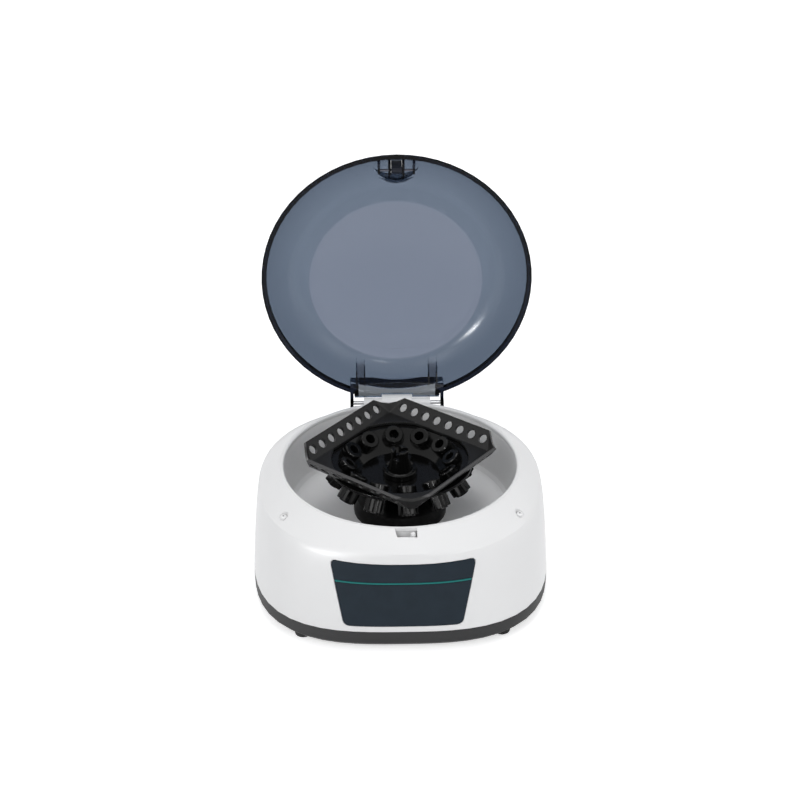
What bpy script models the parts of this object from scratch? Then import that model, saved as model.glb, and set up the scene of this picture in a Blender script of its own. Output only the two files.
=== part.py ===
"""Benchtop mini centrifuge: moulded housing, smoked lid, and a rotor for tubes and tube strips.

Metres, +Z up, front at -Y. The origin is the centre of the base's flat underside, below the rotor
axis. The lid stands open, as a user leaves it to load the rotor.
"""
from math import atan2, cos, hypot, pi, radians, sin, sqrt, tau

import bmesh
import bpy
from mathutils import Matrix, Vector

# Fits
GAP = 0.0003            # air between pieces that touch
PLAY = 0.0003           # radial play of a pin or a shaft in its bore

# Housing
BOWL_RADIUS = 0.0720
RIM_WIDTH = 0.0030      # from the bowl's wall to the top of the rim
RIM_RADIUS = BOWL_RADIUS + RIM_WIDTH
SHOULDER_WIDTH = 0.0112
SHOULDER_DEPTH = 0.0120
CREASE_HALF_WIDTH = RIM_RADIUS + SHOULDER_WIDTH
CREASE_HALF_DEPTH = RIM_RADIUS + SHOULDER_DEPTH
FLARE_WIDTH = 0.0061
FLARE_DEPTH = 0.0100
BASE_HALF_WIDTH = CREASE_HALF_WIDTH + FLARE_WIDTH
BASE_HALF_DEPTH = CREASE_HALF_DEPTH + FLARE_DEPTH
BASE_CENTRE_Y = 0.0080  # the base reaches further back than the round top
CREASE_Z = 0.0640       # soft edge where the lid seat meets the walls
RIM_Z = 0.0740          # top of the rim round the bowl
RIM_ROUND = 0.0006
SEAM_Z = 0.0100         # joint between the white housing and the dark tray
CREASE_ROUND = 0.0016
SHELL_WALL = 0.0025
LIP_HEIGHT = 0.0024

# Tray, feet and the pieces on the tray
TRAY_FLOOR = 0.0026
TRAY_CHAMFER = 0.0022
LABEL_DEPTH = 0.0004    # the label's recess; its floor is at height zero
LABEL_SIZE = Vector((0.0600, 0.0360, 0.0))
LABEL_Y = 0.0060
TRAY_BOTTOM_Z = -LABEL_DEPTH
FOOT_INSET_X = 0.0323
FOOT_INSET_FRONT = 0.0200
FOOT_INSET_BACK = 0.0210
FOOT_X = BASE_HALF_WIDTH - FOOT_INSET_X
FOOT_FRONT_Y = BASE_CENTRE_Y - BASE_HALF_DEPTH + FOOT_INSET_FRONT
FOOT_BACK_Y = BASE_CENTRE_Y + BASE_HALF_DEPTH - FOOT_INSET_BACK
FOOT_RADIUS = 0.0058
FOOT_HEIGHT = 0.0042
FOOT_TAPER = 0.0008
SCREW_RADIUS = 0.0015
SCREW_HEAD_RADIUS = 0.0028
SCREW_HEAD_HEIGHT = 0.0016
SCREW_LENGTH = 0.0060
FOOT_POST_RADIUS = 0.0040
FOOT_POST_HEIGHT = 0.0060
VENT_LENGTH = 0.0300
VENT_WIDTH = 0.0026
VENT_PITCH = 0.0070
VENT_INSET = 0.0170      # from the front feet to the middle of the vents
VENT_Y = FOOT_FRONT_Y + VENT_INSET
VENT_COUNT = 7
POST_INSET = 0.0220
POST_RING = BOWL_RADIUS - POST_INSET
POST_RADIUS = 0.0040
BOARD_SIZE = Vector((0.0640, 0.0260, 0.0016))
REAR_FACE_INSET = 0.0014
REAR_FACE_Y = BASE_CENTRE_Y + BASE_HALF_DEPTH - REAR_FACE_INSET
BOARD_INSET = 0.0376
BOARD_Y = REAR_FACE_Y - BOARD_INSET
BOARD_POST_RADIUS = 0.0028
BOARD_POST_HEIGHT = 0.0034
BOARD_POST_INSET = 0.0045
BOARD_PART_SIZES = (Vector((0.0180, 0.0140, 0.0100)), Vector((0.0120, 0.0120, 0.0130)),
                    Vector((0.0160, 0.0080, 0.0060)))
BOARD_PART_PITCH = 0.0200

# Bowl and motor
BOWL_WALL = 0.0016
BOWL_FLOOR_Z = 0.0390
BOWL_FLOOR_THICKNESS = 0.0020
BOWL_DRAFT = 0.0012
BOWL_FILLET = 0.0060
BOWL_HOLE_RADIUS = 0.0240
BOSS_RADIUS = 0.0290
BOSS_TOP_Z = 0.0568
BOSS_SKIRT = 0.0045
BOSS_WALL = 0.0020
BOSS_HOLE_RADIUS = 0.0045
MOTOR_RADIUS = 0.0200
MOTOR_TOP_Z = 0.0458
MOTOR_COLLAR_RADIUS = 0.0080
MOTOR_COLLAR_HEIGHT = 0.0020
MOTOR_BORE_DEPTH = 0.0080
MOTOR_CHAMFER = 0.0012
DAMPER_RADIUS = 0.0048
DAMPER_WAIST = 0.0036
DAMPER_HEIGHT = 0.0038
DAMPER_RING = 0.0240
PLATE_RADIUS = 0.0300
PLATE_THICKNESS = 0.0020

# Spindle, dish and knob
SHAFT_RADIUS = 0.0030
SEAT_RADIUS = 0.0090
SEAT_HEIGHT = 0.0040
SHAFT_TOP_Z = 0.0740
DISH_FLOOR_Z = 0.0650
DISH_FLOOR_RADIUS = 0.0250
DISH_CONE_RADIUS = 0.0385
DISH_SHELF_Z = 0.0752
DISH_RADIUS = 0.0448
DISH_WALL = 0.0022
DISH_SHELF_THICKNESS = 0.0018
KNOB_FLANGE_RADIUS = 0.0106
KNOB_FLANGE_HEIGHT = 0.0034
KNOB_FLANGE_DISH = 0.0009
KNOB_CONE_RADIUS = 0.0078
KNOB_NECK_RADIUS = 0.0054
KNOB_NECK_Z = 0.0764
KNOB_TOP_Z = 0.0826
KNOB_CUP_RADIUS = 0.0024
KNOB_ROUND = 0.0006
KNOB_CAP = 0.0014
KNOB_SLOT_WIDTH = 0.0040
KNOB_PRONGS = 3

# Sockets and adapters
SOCKET_COUNT = 12
SOCKET_RING = 0.0337
ROTOR_TURN = radians(5.8)  # how far the rotor happens to stand turned
ADAPTER_RADIUS = 0.0042
ADAPTER_LENGTH = 0.0136
SLEEVE_RADIUS = 0.0062
SLEEVE_GROOVE = 0.0012
SLEEVE_RIBS = 6
SLEEVE_LENGTH = 0.0128
COLLAR_RADIUS = 0.0061
COLLAR_HEIGHT = 0.0045
COLLAR_CHAMFER = 0.0006
ADAPTER_BORE = 0.0031
ADAPTER_TIP_BORE = 0.0019

# Strip frame
STRIP_PITCH = 0.0090
STRIP_HOLES = 8
STRIP_HOLE_RADIUS = 0.0030
FRAME_FLOOR = 0.0018
FRAME_WALL = 0.0018
FRAME_WALL_HEIGHT = 0.0088
FRAME_WALL_ANGLE = radians(45)
FRAME_HALF_WIDTH = 0.0388  # from the axis to the foot of a sloped wall
FRAME_OPENING_REACH = 0.0037  # past the foot of the sloped walls
FRAME_OPENING_RADIUS = FRAME_HALF_WIDTH + FRAME_OPENING_REACH
FRAME_CORNER = 0.0552      # from the axis to the cut corner at the foot
FRAME_CORNER_LEAN = 0.0020
FRAME_DIP = 0.0030

# Lid, shut frame: heights are above the lid's rim plane
LID_RIM_Z = 0.0670
LID_OVERHANG = 0.0006      # past the crease of the housing
LID_RADIUS = CREASE_HALF_WIDTH + LID_OVERHANG
LID_HEIGHT = 0.0363
LID_SKIRT = 0.0028
LID_WALL = 0.0022
LID_RIM_WIDTH = 0.0032
LID_RIM_HEIGHT = 0.0030
LID_DOME_REACH = 0.0318    # from the rim in to the flat top
LID_TOP_RADIUS = LID_RADIUS - LID_DOME_REACH
LID_TOP_SHIFT = 0.0125     # the flat top lies towards the hinge
LID_TOP_STEP = 0.0004
LID_OPEN = radians(90)

SEAT_CLEARANCE = 0.0006    # between the housing and what the shut lid carries near it

# Hinge
HINGE_X = 0.0
HINGE_OFFSET = 0.0014      # from the lid's rim out to the hinge axis
HINGE_Y = LID_RADIUS + HINGE_OFFSET
HINGE_Z = 0.0657
ARM_OUTER = 0.03115
ARM_ROOT_WIDTH = 0.0055
ARM_PLATE_WIDTH = 0.0022
ARM_EYE_RADIUS = 0.0034
ARM_ROOT_HEIGHT = 0.0110
PIN_RADIUS = 0.0013
PIN_BORE_DEPTH = 0.0060
BAND_BACK = 0.0059         # from the hinge axis to the flat back of the lid
BAND_THICKNESS = 0.0058
BAND_HEIGHT = 0.0125
GUSSET_OUTER = 0.0267
GUSSET_INNER = 0.0214
GUSSET_THICKNESS = 0.0009
GUSSET_DEPTH = 0.0100
GUSSET_HEIGHT = 0.0200
FLAP_REACH = 0.0019
FLAP_THICKNESS = 0.0012
KNUCKLE_RADIUS = 0.0055
KNUCKLE_HALF_WIDTH = 0.0100
BARREL_RADIUS = 0.0033
BARREL_HALF_WIDTH = 0.0222
BRACKET_HALF_WIDTH = 0.0286
BRACKET_BACK = 0.0050      # from the hinge axis to the bracket's rear face
BRACKET_FRONT = 0.0030
BRACKET_BOTTOM_Z = 0.0540
BRACKET_LEDGE_Z = 0.0605

# Latch and catch
LATCH_X = 0.0
LATCH_INSET = 0.0142       # from the lid's rim in to the latch pin
LATCH_Y = LATCH_INSET - LID_RADIUS
LATCH_Z = 0.0768
LATCH_HALF_WIDTH = 0.0033
LATCH_PIN_RADIUS = 0.0008
LATCH_HUB_RADIUS = 0.0023
HOOK_BACK = 0.0024         # back of the hook, in front of the pin
HOOK_THICKNESS = 0.0014
HOOK_DROP = 0.0102
HOOK_BARB = 0.0015
THUMB_RISE = 0.0088
THUMB_REACH = 0.0055
THUMB_THICKNESS = 0.0016
LATCH_RIB_X = 0.0110
LATCH_RIB_THICKNESS = 0.0012
LATCH_RIB_FRONT = 0.0050
LATCH_RIB_BACK = 0.0022
LATCH_RIB_DROP = 0.0020
LATCH_RIB_RISE = 0.0053
INNER_RIB_THICKNESS = 0.0013
SCOOP_RADII = Vector((0.0169, 0.0195, 0.0110))
SCOOP_INSET = 0.0068
SCOOP_Y = SCOOP_INSET - LID_RADIUS
SCOOP_Z = 0.0905
SCOOP_WALL = 0.0019
WINDOW_FRONT = 0.0064
WINDOW_BACK = 0.0036
SLOT_LEFT = -0.0049
SLOT_RIGHT = 0.0082
SLOT_FRONT_OFFSET = 0.0034
SLOT_BACK_OFFSET = 0.0011
SLOT_FRONT_Y = -RIM_RADIUS - SLOT_FRONT_OFFSET
SLOT_BACK_Y = SLOT_BACK_OFFSET - RIM_RADIUS
SLOT_SLANT = 0.0016
NUB_X = 0.0059
NUB_INSET = 0.0022
NUB_Y = SLOT_BACK_Y - NUB_INSET
NUB_RADIUS = 0.0016
NUB_TOP_Z = 0.0724
NUB_LENGTH = 0.0100
NUB_TRAVEL = 0.0015
SWITCH_SIZE = Vector((0.0120, 0.0066, 0.0090))
SWITCH_GRIP = 0.0018       # how much of the nub the switch's guide holds
SWITCH_SHIFT = 0.0012      # the switch lies further from the bowl than the nub
PAD_AZIMUTH = radians(34)
PAD_INSET = 0.0012
PAD_RING = CREASE_HALF_WIDTH - PAD_INSET
PAD_RADIUS = 0.0021
PAD_HOLE = 0.0006
PAD_HEIGHT = 0.0016
PAD_TOP_Z = 0.0661
PAD_POCKET_RADIUS = 0.0028

# Front panel
PANEL_TOP_Z = 0.0573
PANEL_BOTTOM_Z = 0.0144
PANEL_TOP_HALF = 0.0424
PANEL_BOTTOM_HALF = 0.0350
PANEL_CORNER = 0.0032
PANEL_THICKNESS = 0.0009
PANEL_PROUD = 0.0002
STRIPE_Z = 0.0445
STRIPE_HALF_HEIGHT = 0.0005
STRIPE_DEPTH = 0.0004

# Back: inlet and power switch
INLET_X = -0.0220
INLET_Z = 0.0260
INLET_SIZE = Vector((0.0270, 0.0160, 0.0195))
INLET_WALL = 0.0022
INLET_DEPTH = 0.0110
INLET_PIN = Vector((0.0020, 0.0080, 0.0040))
INLET_PIN_PITCH = 0.0070
INLET_PIN_RISE = 0.0020
ROCKER_X = 0.0240
ROCKER_Z = 0.0260
BEZEL_SIZE = Vector((0.0150, 0.0140, 0.0210))
BEZEL_WALL = 0.0016
BEZEL_DEPTH = 0.0090
ROCKER_THICKNESS = 0.0050
ROCKER_CROWN = 0.0016
ROCKER_TILT = radians(5)

# Facets
BODY_SIDES = 64
LID_SIDES = 64
BOWL_SIDES = 56
RING_SIDES = 32
SMALL_SIDES = 16
TINY_SIDES = 12
CORNER_STEPS = 3
PANEL_COLUMNS = 10
PANEL_SHARES = (0.2, 0.35, 0.5, 0.65, 0.8)
LID_STEPS = 6
EYE_STEPS = 10
DISH_SIDES = 48
KNOB_SIDES = 24
STRIPE_COLUMNS = 16
DOME_RISE_POWER = 1.1
DOME_REACH_POWER = 0.88
SMOOTH_ANGLE = radians(35)


def new_material(name, colour, roughness, metallic=0.0, alpha=1.0):
    """A Principled material."""
    material = bpy.data.materials.new(name)
    material.use_nodes = True
    shader = material.node_tree.nodes["Principled BSDF"]
    shader.inputs["Base Color"].default_value = (*colour, 1.0)
    shader.inputs["Roughness"].default_value = roughness
    shader.inputs["Metallic"].default_value = metallic
    shader.inputs["Alpha"].default_value = alpha
    return material


def new_object(name, mesh, material=None, parent=None):
    """Link a mesh as an object; a moving piece hangs on the empty of its joint."""
    item = bpy.data.objects.new(name, mesh)
    bpy.context.scene.collection.objects.link(item)
    if material:
        item.data.materials.append(material)
    if parent:
        item.parent = parent
        item.matrix_parent_inverse = Matrix.Translation(-parent.location)
    return item


def new_axis(name, place):
    """An empty on the axis of a joint."""
    empty = bpy.data.objects.new(name, None)
    empty.location = place
    bpy.context.scene.collection.objects.link(empty)
    return empty


def finish_mesh(name, shape, smooth=True):
    """Turn a bmesh into a closed mesh with its faces pointing out."""
    bmesh.ops.recalc_face_normals(shape, faces=shape.faces)
    mesh = bpy.data.meshes.new(name)
    shape.to_mesh(mesh)
    shape.free()
    if smooth:
        mesh.shade_smooth()
        mesh.set_sharp_from_angle(angle=SMOOTH_ANGLE)
    return mesh


def loft(name, rings, closed=False):
    """Skin a row of equal rings; a closed row makes a ring-shaped solid, an open one is capped."""
    shape = bmesh.new()
    loops = [[shape.verts.new(point) for point in ring] for ring in rings]
    count = len(loops[0])
    pairs = list(zip(loops, loops[1:]))
    if closed:
        pairs.append((loops[-1], loops[0]))
    else:
        shape.faces.new(loops[0])
        shape.faces.new(loops[-1])
    for low, high in pairs:
        for here in range(count):
            there = (here + 1) % count
            shape.faces.new((low[here], low[there], high[there], high[here]))
    return finish_mesh(name, shape)


def circle(radius, z, sides, centre_y=0.0, turn=0.0):
    """A level ring of points."""
    angles = [turn + tau * step / sides for step in range(sides)]
    return [Vector((radius * cos(a), centre_y + radius * sin(a), z)) for a in angles]


def turned(name, profile, sides, closed=False):
    """Turn (radius, height) pairs round the Z axis."""
    return loft(name, [circle(radius, z, sides) for radius, z in profile], closed)


def box(name, low, high):
    """A box between two corners."""
    shape = bmesh.new()
    size = high - low
    place = Matrix.Translation((low + high) / 2) @ Matrix.Diagonal((*size, 1))
    bmesh.ops.create_cube(shape, size=1.0, matrix=place)
    return finish_mesh(name, shape, smooth=False)


def rod(name, start, end, radius, sides, end_radius=None):
    """A cylinder or a cone between two points."""
    shape = bmesh.new()
    along = end - start
    place = Matrix.Translation((start + end) / 2) @ along.to_track_quat("Z", "Y").to_matrix().to_4x4()
    bmesh.ops.create_cone(shape, cap_ends=True, segments=sides, radius1=radius,
                          radius2=radius if end_radius is None else end_radius,
                          depth=along.length, matrix=place)
    return finish_mesh(name, shape)


def extruded(name, outline, low, high):
    """Extrude an outline of (y, z) points along X."""
    return loft(name, [[Vector((x, y, z)) for y, z in outline] for x in (low, high)])


def joined(name, meshes):
    """Several meshes as one, for a cutter or for a group that a union joins."""
    shape = bmesh.new()
    for mesh in meshes:
        shape.from_mesh(mesh)
    return finish_mesh(name, shape)


def tool(name, mesh, parent=None):
    """A guide or cutter that isn't part of the object."""
    item = new_object(name, mesh, parent=parent)
    item.hide_render = True
    item.display_type = "WIRE"
    return item


def combine(item, other, operation):
    """Add, cut or intersect with a tool object."""
    modifier = item.modifiers.new(other.name, "BOOLEAN")
    modifier.operation = operation
    modifier.object = other
    return item


def body_radius(angle, half_width, half_depth, squareness):
    """Polar radius of a rounded square."""
    across = abs(cos(angle) / half_width) ** squareness
    along = abs(sin(angle) / half_depth) ** squareness
    return (across + along) ** (-1 / squareness)


def body_section(z):
    """Half width, half depth, centre and squareness of the housing wall at a height."""
    fall = max(0.0, min(1.0, (CREASE_Z - z) / (CREASE_Z - SEAM_Z)))
    half_width = CREASE_HALF_WIDTH + (BASE_HALF_WIDTH - CREASE_HALF_WIDTH) * fall ** 0.47
    half_depth = CREASE_HALF_DEPTH + (BASE_HALF_DEPTH - CREASE_HALF_DEPTH) * fall ** 0.6
    return half_width, half_depth, BASE_CENTRE_Y * fall ** 0.6, 2.05 + 0.95 * fall ** 0.5


def body_ring(z, inset=0.0, level=None):
    """The housing's outline at a height, drawn in by an inset."""
    half_width, half_depth, centre, squareness = body_section(z)
    ring = []
    for step in range(BODY_SIDES):
        angle = tau * step / BODY_SIDES
        radius = body_radius(angle, half_width - inset, half_depth - inset, squareness)
        height = z if level is None else level
        ring.append(Vector((radius * cos(angle), centre + radius * sin(angle), height)))
    return ring


def seat_ring(share, inset=0.0, drop=0.0):
    """A ring on the sloped lid seat, from the crease (share 0) up to the rim (share 1)."""
    low = body_ring(CREASE_Z, inset)
    high = circle(RIM_RADIUS - inset, RIM_Z - RIM_ROUND, BODY_SIDES)
    return [a.lerp(b, share) - Vector((0, 0, drop)) for a, b in zip(low, high)]


def front_y(x, z):
    """Where the front wall lies at a place on the panel."""
    half_width, half_depth, centre, squareness = body_section(z)
    share = (1 - abs(x / half_width) ** squareness) ** (1 / squareness)
    return centre - half_depth * share


def wall_levels():
    """Heights at which the housing's wall is sampled, closer together near the crease."""
    fall = CREASE_Z - SEAM_Z - GAP
    return [CREASE_Z - fall * share ** 2 for share in (1.0, 0.8, 0.62, 0.46, 0.32, 0.2)]


def housing_mesh():
    """The white moulding: walls, lid seat, rim and lip, hollow inside."""
    outer = [body_ring(z) for z in wall_levels()]
    crease = seat_ring(0.0, inset=CREASE_ROUND * 0.1)
    seat = [seat_ring(share) for share in (CREASE_ROUND / (CREASE_HALF_WIDTH - RIM_RADIUS), 0.5, 1.0)]
    rim = [circle(RIM_RADIUS - RIM_ROUND, RIM_Z, BODY_SIDES),
           circle(BOWL_RADIUS + RIM_ROUND, RIM_Z, BODY_SIDES),
           circle(BOWL_RADIUS, RIM_Z - RIM_ROUND, BODY_SIDES),
           circle(BOWL_RADIUS, RIM_Z - LIP_HEIGHT, BODY_SIDES),
           circle(BOWL_RADIUS + BOWL_WALL + 2 * RIM_ROUND, RIM_Z - LIP_HEIGHT, BODY_SIDES)]
    under_crease = body_ring(CREASE_Z, SHELL_WALL, CREASE_Z - SHELL_WALL)
    inner = [body_ring(z, SHELL_WALL, z - SHELL_WALL) for z in reversed(wall_levels()[1::2])]
    foot = [body_ring(SEAM_Z, SHELL_WALL, SEAM_Z + GAP)]
    return loft("housing_shell", outer + [crease] + seat + rim + [under_crease] + inner + foot, closed=True)


def housing_solid(name, swell):
    """The housing's outer form as a plain solid, swollen for a fit."""
    walls = [body_ring(z, -swell) for z in wall_levels()[1:]]
    seat = [seat_ring(0.0, -swell), seat_ring(1.0, -swell, -swell)]
    return loft(name, walls + seat + [circle(RIM_RADIUS + swell, RIM_Z + swell, BODY_SIDES)])


def on_front(points, depth):
    """Lay (x, z) points on the front wall, at a depth under its skin."""
    return [Vector((x, front_y(x, z) + depth, z)) for x, z in points]


def front_slab(name, rows, outer_depth, inner_depth):
    """A slab that follows the front wall, from rows of (x, z) points of equal count."""
    shape = bmesh.new()
    sides = []
    for depth in (outer_depth, inner_depth):
        sides.append([[shape.verts.new(point) for point in on_front(row, depth)] for row in rows])
    for side in sides:
        for low, high in zip(side, side[1:]):
            for here in range(len(low) - 1):
                shape.faces.new((low[here], low[here + 1], high[here + 1], high[here]))
    edge = [boundary(side) for side in sides]
    for here in range(len(edge[0])):
        there = (here + 1) % len(edge[0])
        shape.faces.new((edge[0][here], edge[0][there], edge[1][there], edge[1][here]))
    return finish_mesh(name, shape)


def boundary(rows):
    """The rim of a grid of vertices, in order."""
    right = [row[-1] for row in rows[1:-1]]
    left = [row[0] for row in rows[1:-1]]
    return rows[0] + right + rows[-1][::-1] + left[::-1]


def panel_rows(margin):
    """Rows across the panel; the rows near the top and bottom draw in to round the corners."""
    low, high = PANEL_BOTTOM_Z - margin, PANEL_TOP_Z + margin
    bends = [PANEL_CORNER * (1 - cos(pi / 2 * step / CORNER_STEPS)) for step in range(CORNER_STEPS + 1)]
    heights = [low + bend for bend in bends] + [low + (high - low) * share for share in PANEL_SHARES]
    heights += [high - bend for bend in reversed(bends)]
    rows = []
    for z in heights:
        slope = (z - PANEL_BOTTOM_Z) / (PANEL_TOP_Z - PANEL_BOTTOM_Z)
        half = PANEL_BOTTOM_HALF + (PANEL_TOP_HALF - PANEL_BOTTOM_HALF) * slope + margin
        edge = min(z - (PANEL_BOTTOM_Z - margin), PANEL_TOP_Z + margin - z)
        if edge < PANEL_CORNER:
            half -= PANEL_CORNER - sqrt(max(0.0, PANEL_CORNER ** 2 - (PANEL_CORNER - edge) ** 2))
        rows.append([(half * (2 * column / PANEL_COLUMNS - 1), z) for column in range(PANEL_COLUMNS + 1)])
    return rows


def make_housing(materials):
    """The shell with its openings for the panel, catch, pads, inlet and power switch."""
    shell = new_object("housing_shell", housing_mesh(), materials["white"])
    cutters = [
        tool("cut_panel", front_slab("cut_panel", panel_rows(GAP), -SHELL_WALL,
                                     PANEL_THICKNESS + GAP - PANEL_PROUD)),
        tool("cut_catch", catch_mesh()),
        tool("cut_inlet", fit_box("cut_inlet", INLET_X, INLET_Z, INLET_SIZE)),
        tool("cut_rocker", fit_box("cut_rocker", ROCKER_X, ROCKER_Z, BEZEL_SIZE)),
        tool("cut_pads", joined("cut_pads", [pad_pocket(side) for side in (-1, 1)])),
    ]
    for cutter in cutters:
        combine(shell, cutter, "DIFFERENCE")
    return shell


def catch_mesh():
    """The catch slot, wider towards the bowl."""
    top, bottom = RIM_Z + GAP, CREASE_Z - SHELL_WALL
    outline = [(SLOT_LEFT, SLOT_BACK_Y), (SLOT_RIGHT, SLOT_BACK_Y),
               (SLOT_RIGHT, SLOT_FRONT_Y), (SLOT_LEFT + SLOT_SLANT, SLOT_FRONT_Y)]
    return loft("cut_catch", [[Vector((x, y, z)) for x, y in outline] for z in (bottom, top)])


def fit_box(name, x, z, size):
    """The hole in the rear wall for an insert, with a gap all round."""
    low = Vector((x - size.x / 2 - GAP, REAR_FACE_Y - size.y, z - size.z / 2 - GAP))
    high = Vector((x + size.x / 2 + GAP, REAR_FACE_Y + size.y, z + size.z / 2 + GAP))
    return box(name, low, high)


def pad_place(side):
    """Centre of a rest pad on the seat."""
    return Vector((side * PAD_RING * cos(PAD_AZIMUTH), -PAD_RING * sin(PAD_AZIMUTH), PAD_TOP_Z))


def pad_pocket(side):
    """The shallow pocket of a rest pad."""
    bottom = pad_place(side) - Vector((0, 0, PAD_HEIGHT + GAP))
    return rod("pad_pocket", bottom, bottom + Vector((0, 0, 4 * PAD_HEIGHT)), PAD_POCKET_RADIUS, SMALL_SIDES)


def make_pads(materials):
    """Two rest pads under the lid edge, each with a pin hole."""
    for name, side in (("rest_pad_left", -1), ("rest_pad_right", 1)):
        place = pad_place(side)
        profile = [(PAD_HOLE, -PAD_HEIGHT / 2), (PAD_HOLE, 0.0), (PAD_RADIUS - PAD_HOLE, 0.0),
                   (PAD_RADIUS, -PAD_HOLE), (PAD_RADIUS, -PAD_HEIGHT), (PAD_HOLE / 2, -PAD_HEIGHT)]
        rings = [circle(radius, z, TINY_SIDES) for radius, z in profile]
        mesh = loft(name, [[point + place for point in ring] for ring in rings], closed=True)
        new_object(name, mesh, materials["pad"])


def make_tray(materials):
    """The dark tray with its vents, label recess, and posts for the bowl, the board and the foot screws."""
    top = SEAM_Z
    outer = [body_ring(SEAM_Z, 0.0, top), body_ring(SEAM_Z, 0.0, TRAY_CHAMFER),
             body_ring(SEAM_Z, TRAY_CHAMFER, TRAY_BOTTOM_Z)]
    inner = [body_ring(SEAM_Z, SHELL_WALL, TRAY_FLOOR), body_ring(SEAM_Z, SHELL_WALL, top)]
    rings = [inner[0], inner[1]] + outer
    tray = new_object("base_tray", loft("base_tray", rings), materials["dark_grey"])
    sink = TRAY_FLOOR / 2
    posts = []
    for step in range(4):
        angle = tau * (step + 0.5) / 4
        foot = Vector((POST_RING * cos(angle), POST_RING * sin(angle), sink))
        posts.append(post(foot, BOWL_FLOOR_Z - BOWL_FLOOR_THICKNESS - GAP, POST_RADIUS))
    for x, y in board_corners():
        posts.append(post(Vector((x, y, sink)), TRAY_FLOOR + BOARD_POST_HEIGHT, BOARD_POST_RADIUS))
    for x, y in foot_places():
        posts.append(post(Vector((x, y, sink)), TRAY_FLOOR + FOOT_POST_HEIGHT, FOOT_POST_RADIUS))
    combine(tray, tool("tray_posts", joined("tray_posts", posts)), "UNION")
    vents = [vent(step - (VENT_COUNT - 1) / 2) for step in range(VENT_COUNT)]
    combine(tray, tool("cut_vents", joined("cut_vents", vents)), "DIFFERENCE")
    middle = Vector((0, LABEL_Y, 0))
    below = Vector((0, 0, 2 * LABEL_DEPTH))
    label = box("cut_label", middle - LABEL_SIZE / 2 - below, middle + LABEL_SIZE / 2)
    combine(tray, tool("cut_label", label), "DIFFERENCE")
    bores = [rod("bore", Vector((x, y, TRAY_BOTTOM_Z - GAP)), Vector((x, y, SCREW_LENGTH + 2 * GAP)),
                 SCREW_RADIUS + PLAY, TINY_SIDES) for x, y in foot_places()]
    combine(tray, tool("cut_foot_bores", joined("cut_foot_bores", bores)), "DIFFERENCE")


def post(foot, top, radius):
    """An upright post from inside the tray floor."""
    return rod("post", foot, Vector((foot.x, foot.y, top)), radius, TINY_SIDES)


def vent(step):
    """One vent slot through the tray floor."""
    x = step * VENT_PITCH
    low = Vector((x - VENT_WIDTH / 2, VENT_Y - VENT_LENGTH / 2, TRAY_BOTTOM_Z - GAP))
    return box("vent", low, low + Vector((VENT_WIDTH, VENT_LENGTH, TRAY_FLOOR + LABEL_DEPTH + 2 * GAP)))


def foot_places():
    """Centres of the four feet."""
    return [(x, y) for y in (FOOT_FRONT_Y, FOOT_BACK_Y) for x in (-FOOT_X, FOOT_X)]


def board_corners():
    """Centres of the four board posts."""
    reach_x = BOARD_SIZE.x / 2 - BOARD_POST_INSET
    reach_y = BOARD_SIZE.y / 2 - BOARD_POST_INSET
    return [(x, BOARD_Y + y) for x in (-reach_x, reach_x) for y in (-reach_y, reach_y)]


def make_feet(materials):
    """Rubber feet, hollow for their screws, and the screws."""
    heads = -FOOT_HEIGHT + SCREW_HEAD_HEIGHT
    for number, (x, y) in enumerate(foot_places(), start=1):
        seat = TRAY_BOTTOM_Z - GAP
        profile = [(FOOT_RADIUS, seat), (FOOT_RADIUS - FOOT_TAPER, -FOOT_HEIGHT),
                   (SCREW_HEAD_RADIUS + GAP, -FOOT_HEIGHT), (SCREW_HEAD_RADIUS + GAP, heads + GAP),
                   (SCREW_RADIUS + PLAY, heads + GAP), (SCREW_RADIUS + PLAY, seat)]
        rings = [circle(radius, z, SMALL_SIDES) for radius, z in profile]
        moved = [[point + Vector((x, y, 0)) for point in ring] for ring in rings]
        new_object(f"foot_{number}", loft("foot", moved, closed=True), materials["rubber"])
        screw = [(SCREW_HEAD_RADIUS, heads - SCREW_HEAD_HEIGHT / 2), (SCREW_HEAD_RADIUS, heads),
                 (SCREW_RADIUS, heads), (SCREW_RADIUS, SCREW_LENGTH)]
        rings = [circle(radius, z, TINY_SIDES) for radius, z in screw]
        moved = [[point + Vector((x, y, 0)) for point in ring] for ring in rings]
        new_object(f"foot_screw_{number}", loft("foot_screw", moved), materials["steel"])


def make_bowl(materials):
    """The rotor chamber: upright wall, round corner and flat floor with the motor hole."""
    top = RIM_Z - LIP_HEIGHT - GAP
    corner_z = BOWL_FLOOR_Z + BOWL_FILLET
    corner_r = BOWL_RADIUS - BOWL_DRAFT - BOWL_FILLET
    inner, outer = [(BOWL_RADIUS, top)], []
    for step in range(4):
        angle = pi / 2 * step / 3
        inner.append((corner_r + BOWL_FILLET * cos(angle), corner_z - BOWL_FILLET * sin(angle)))
        grown = BOWL_FILLET + BOWL_WALL
        drop = (BOWL_FILLET + BOWL_FLOOR_THICKNESS) * sin(angle)
        outer.append((corner_r + grown * cos(angle), corner_z - drop))
    inner.append((BOWL_HOLE_RADIUS, BOWL_FLOOR_Z))
    outer.append((BOWL_HOLE_RADIUS, BOWL_FLOOR_Z - BOWL_FLOOR_THICKNESS))
    profile = inner + outer[::-1] + [(BOWL_RADIUS + BOWL_WALL, top)]
    new_object("bowl", turned("bowl", profile, BOWL_SIDES, closed=True), materials["bowl"])


def dome_profile(radius, base, skirt, top, hole, steps=4):
    """A quarter-ellipse dome over a short upright skirt, as (radius, height) pairs."""
    points = [(radius, base)]
    rise = top - base - skirt
    for step in range(steps + 1):
        angle = pi / 2 * step / steps
        points.append((hole + (radius - hole) * cos(angle), base + skirt + rise * sin(angle)))
    return points


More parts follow.
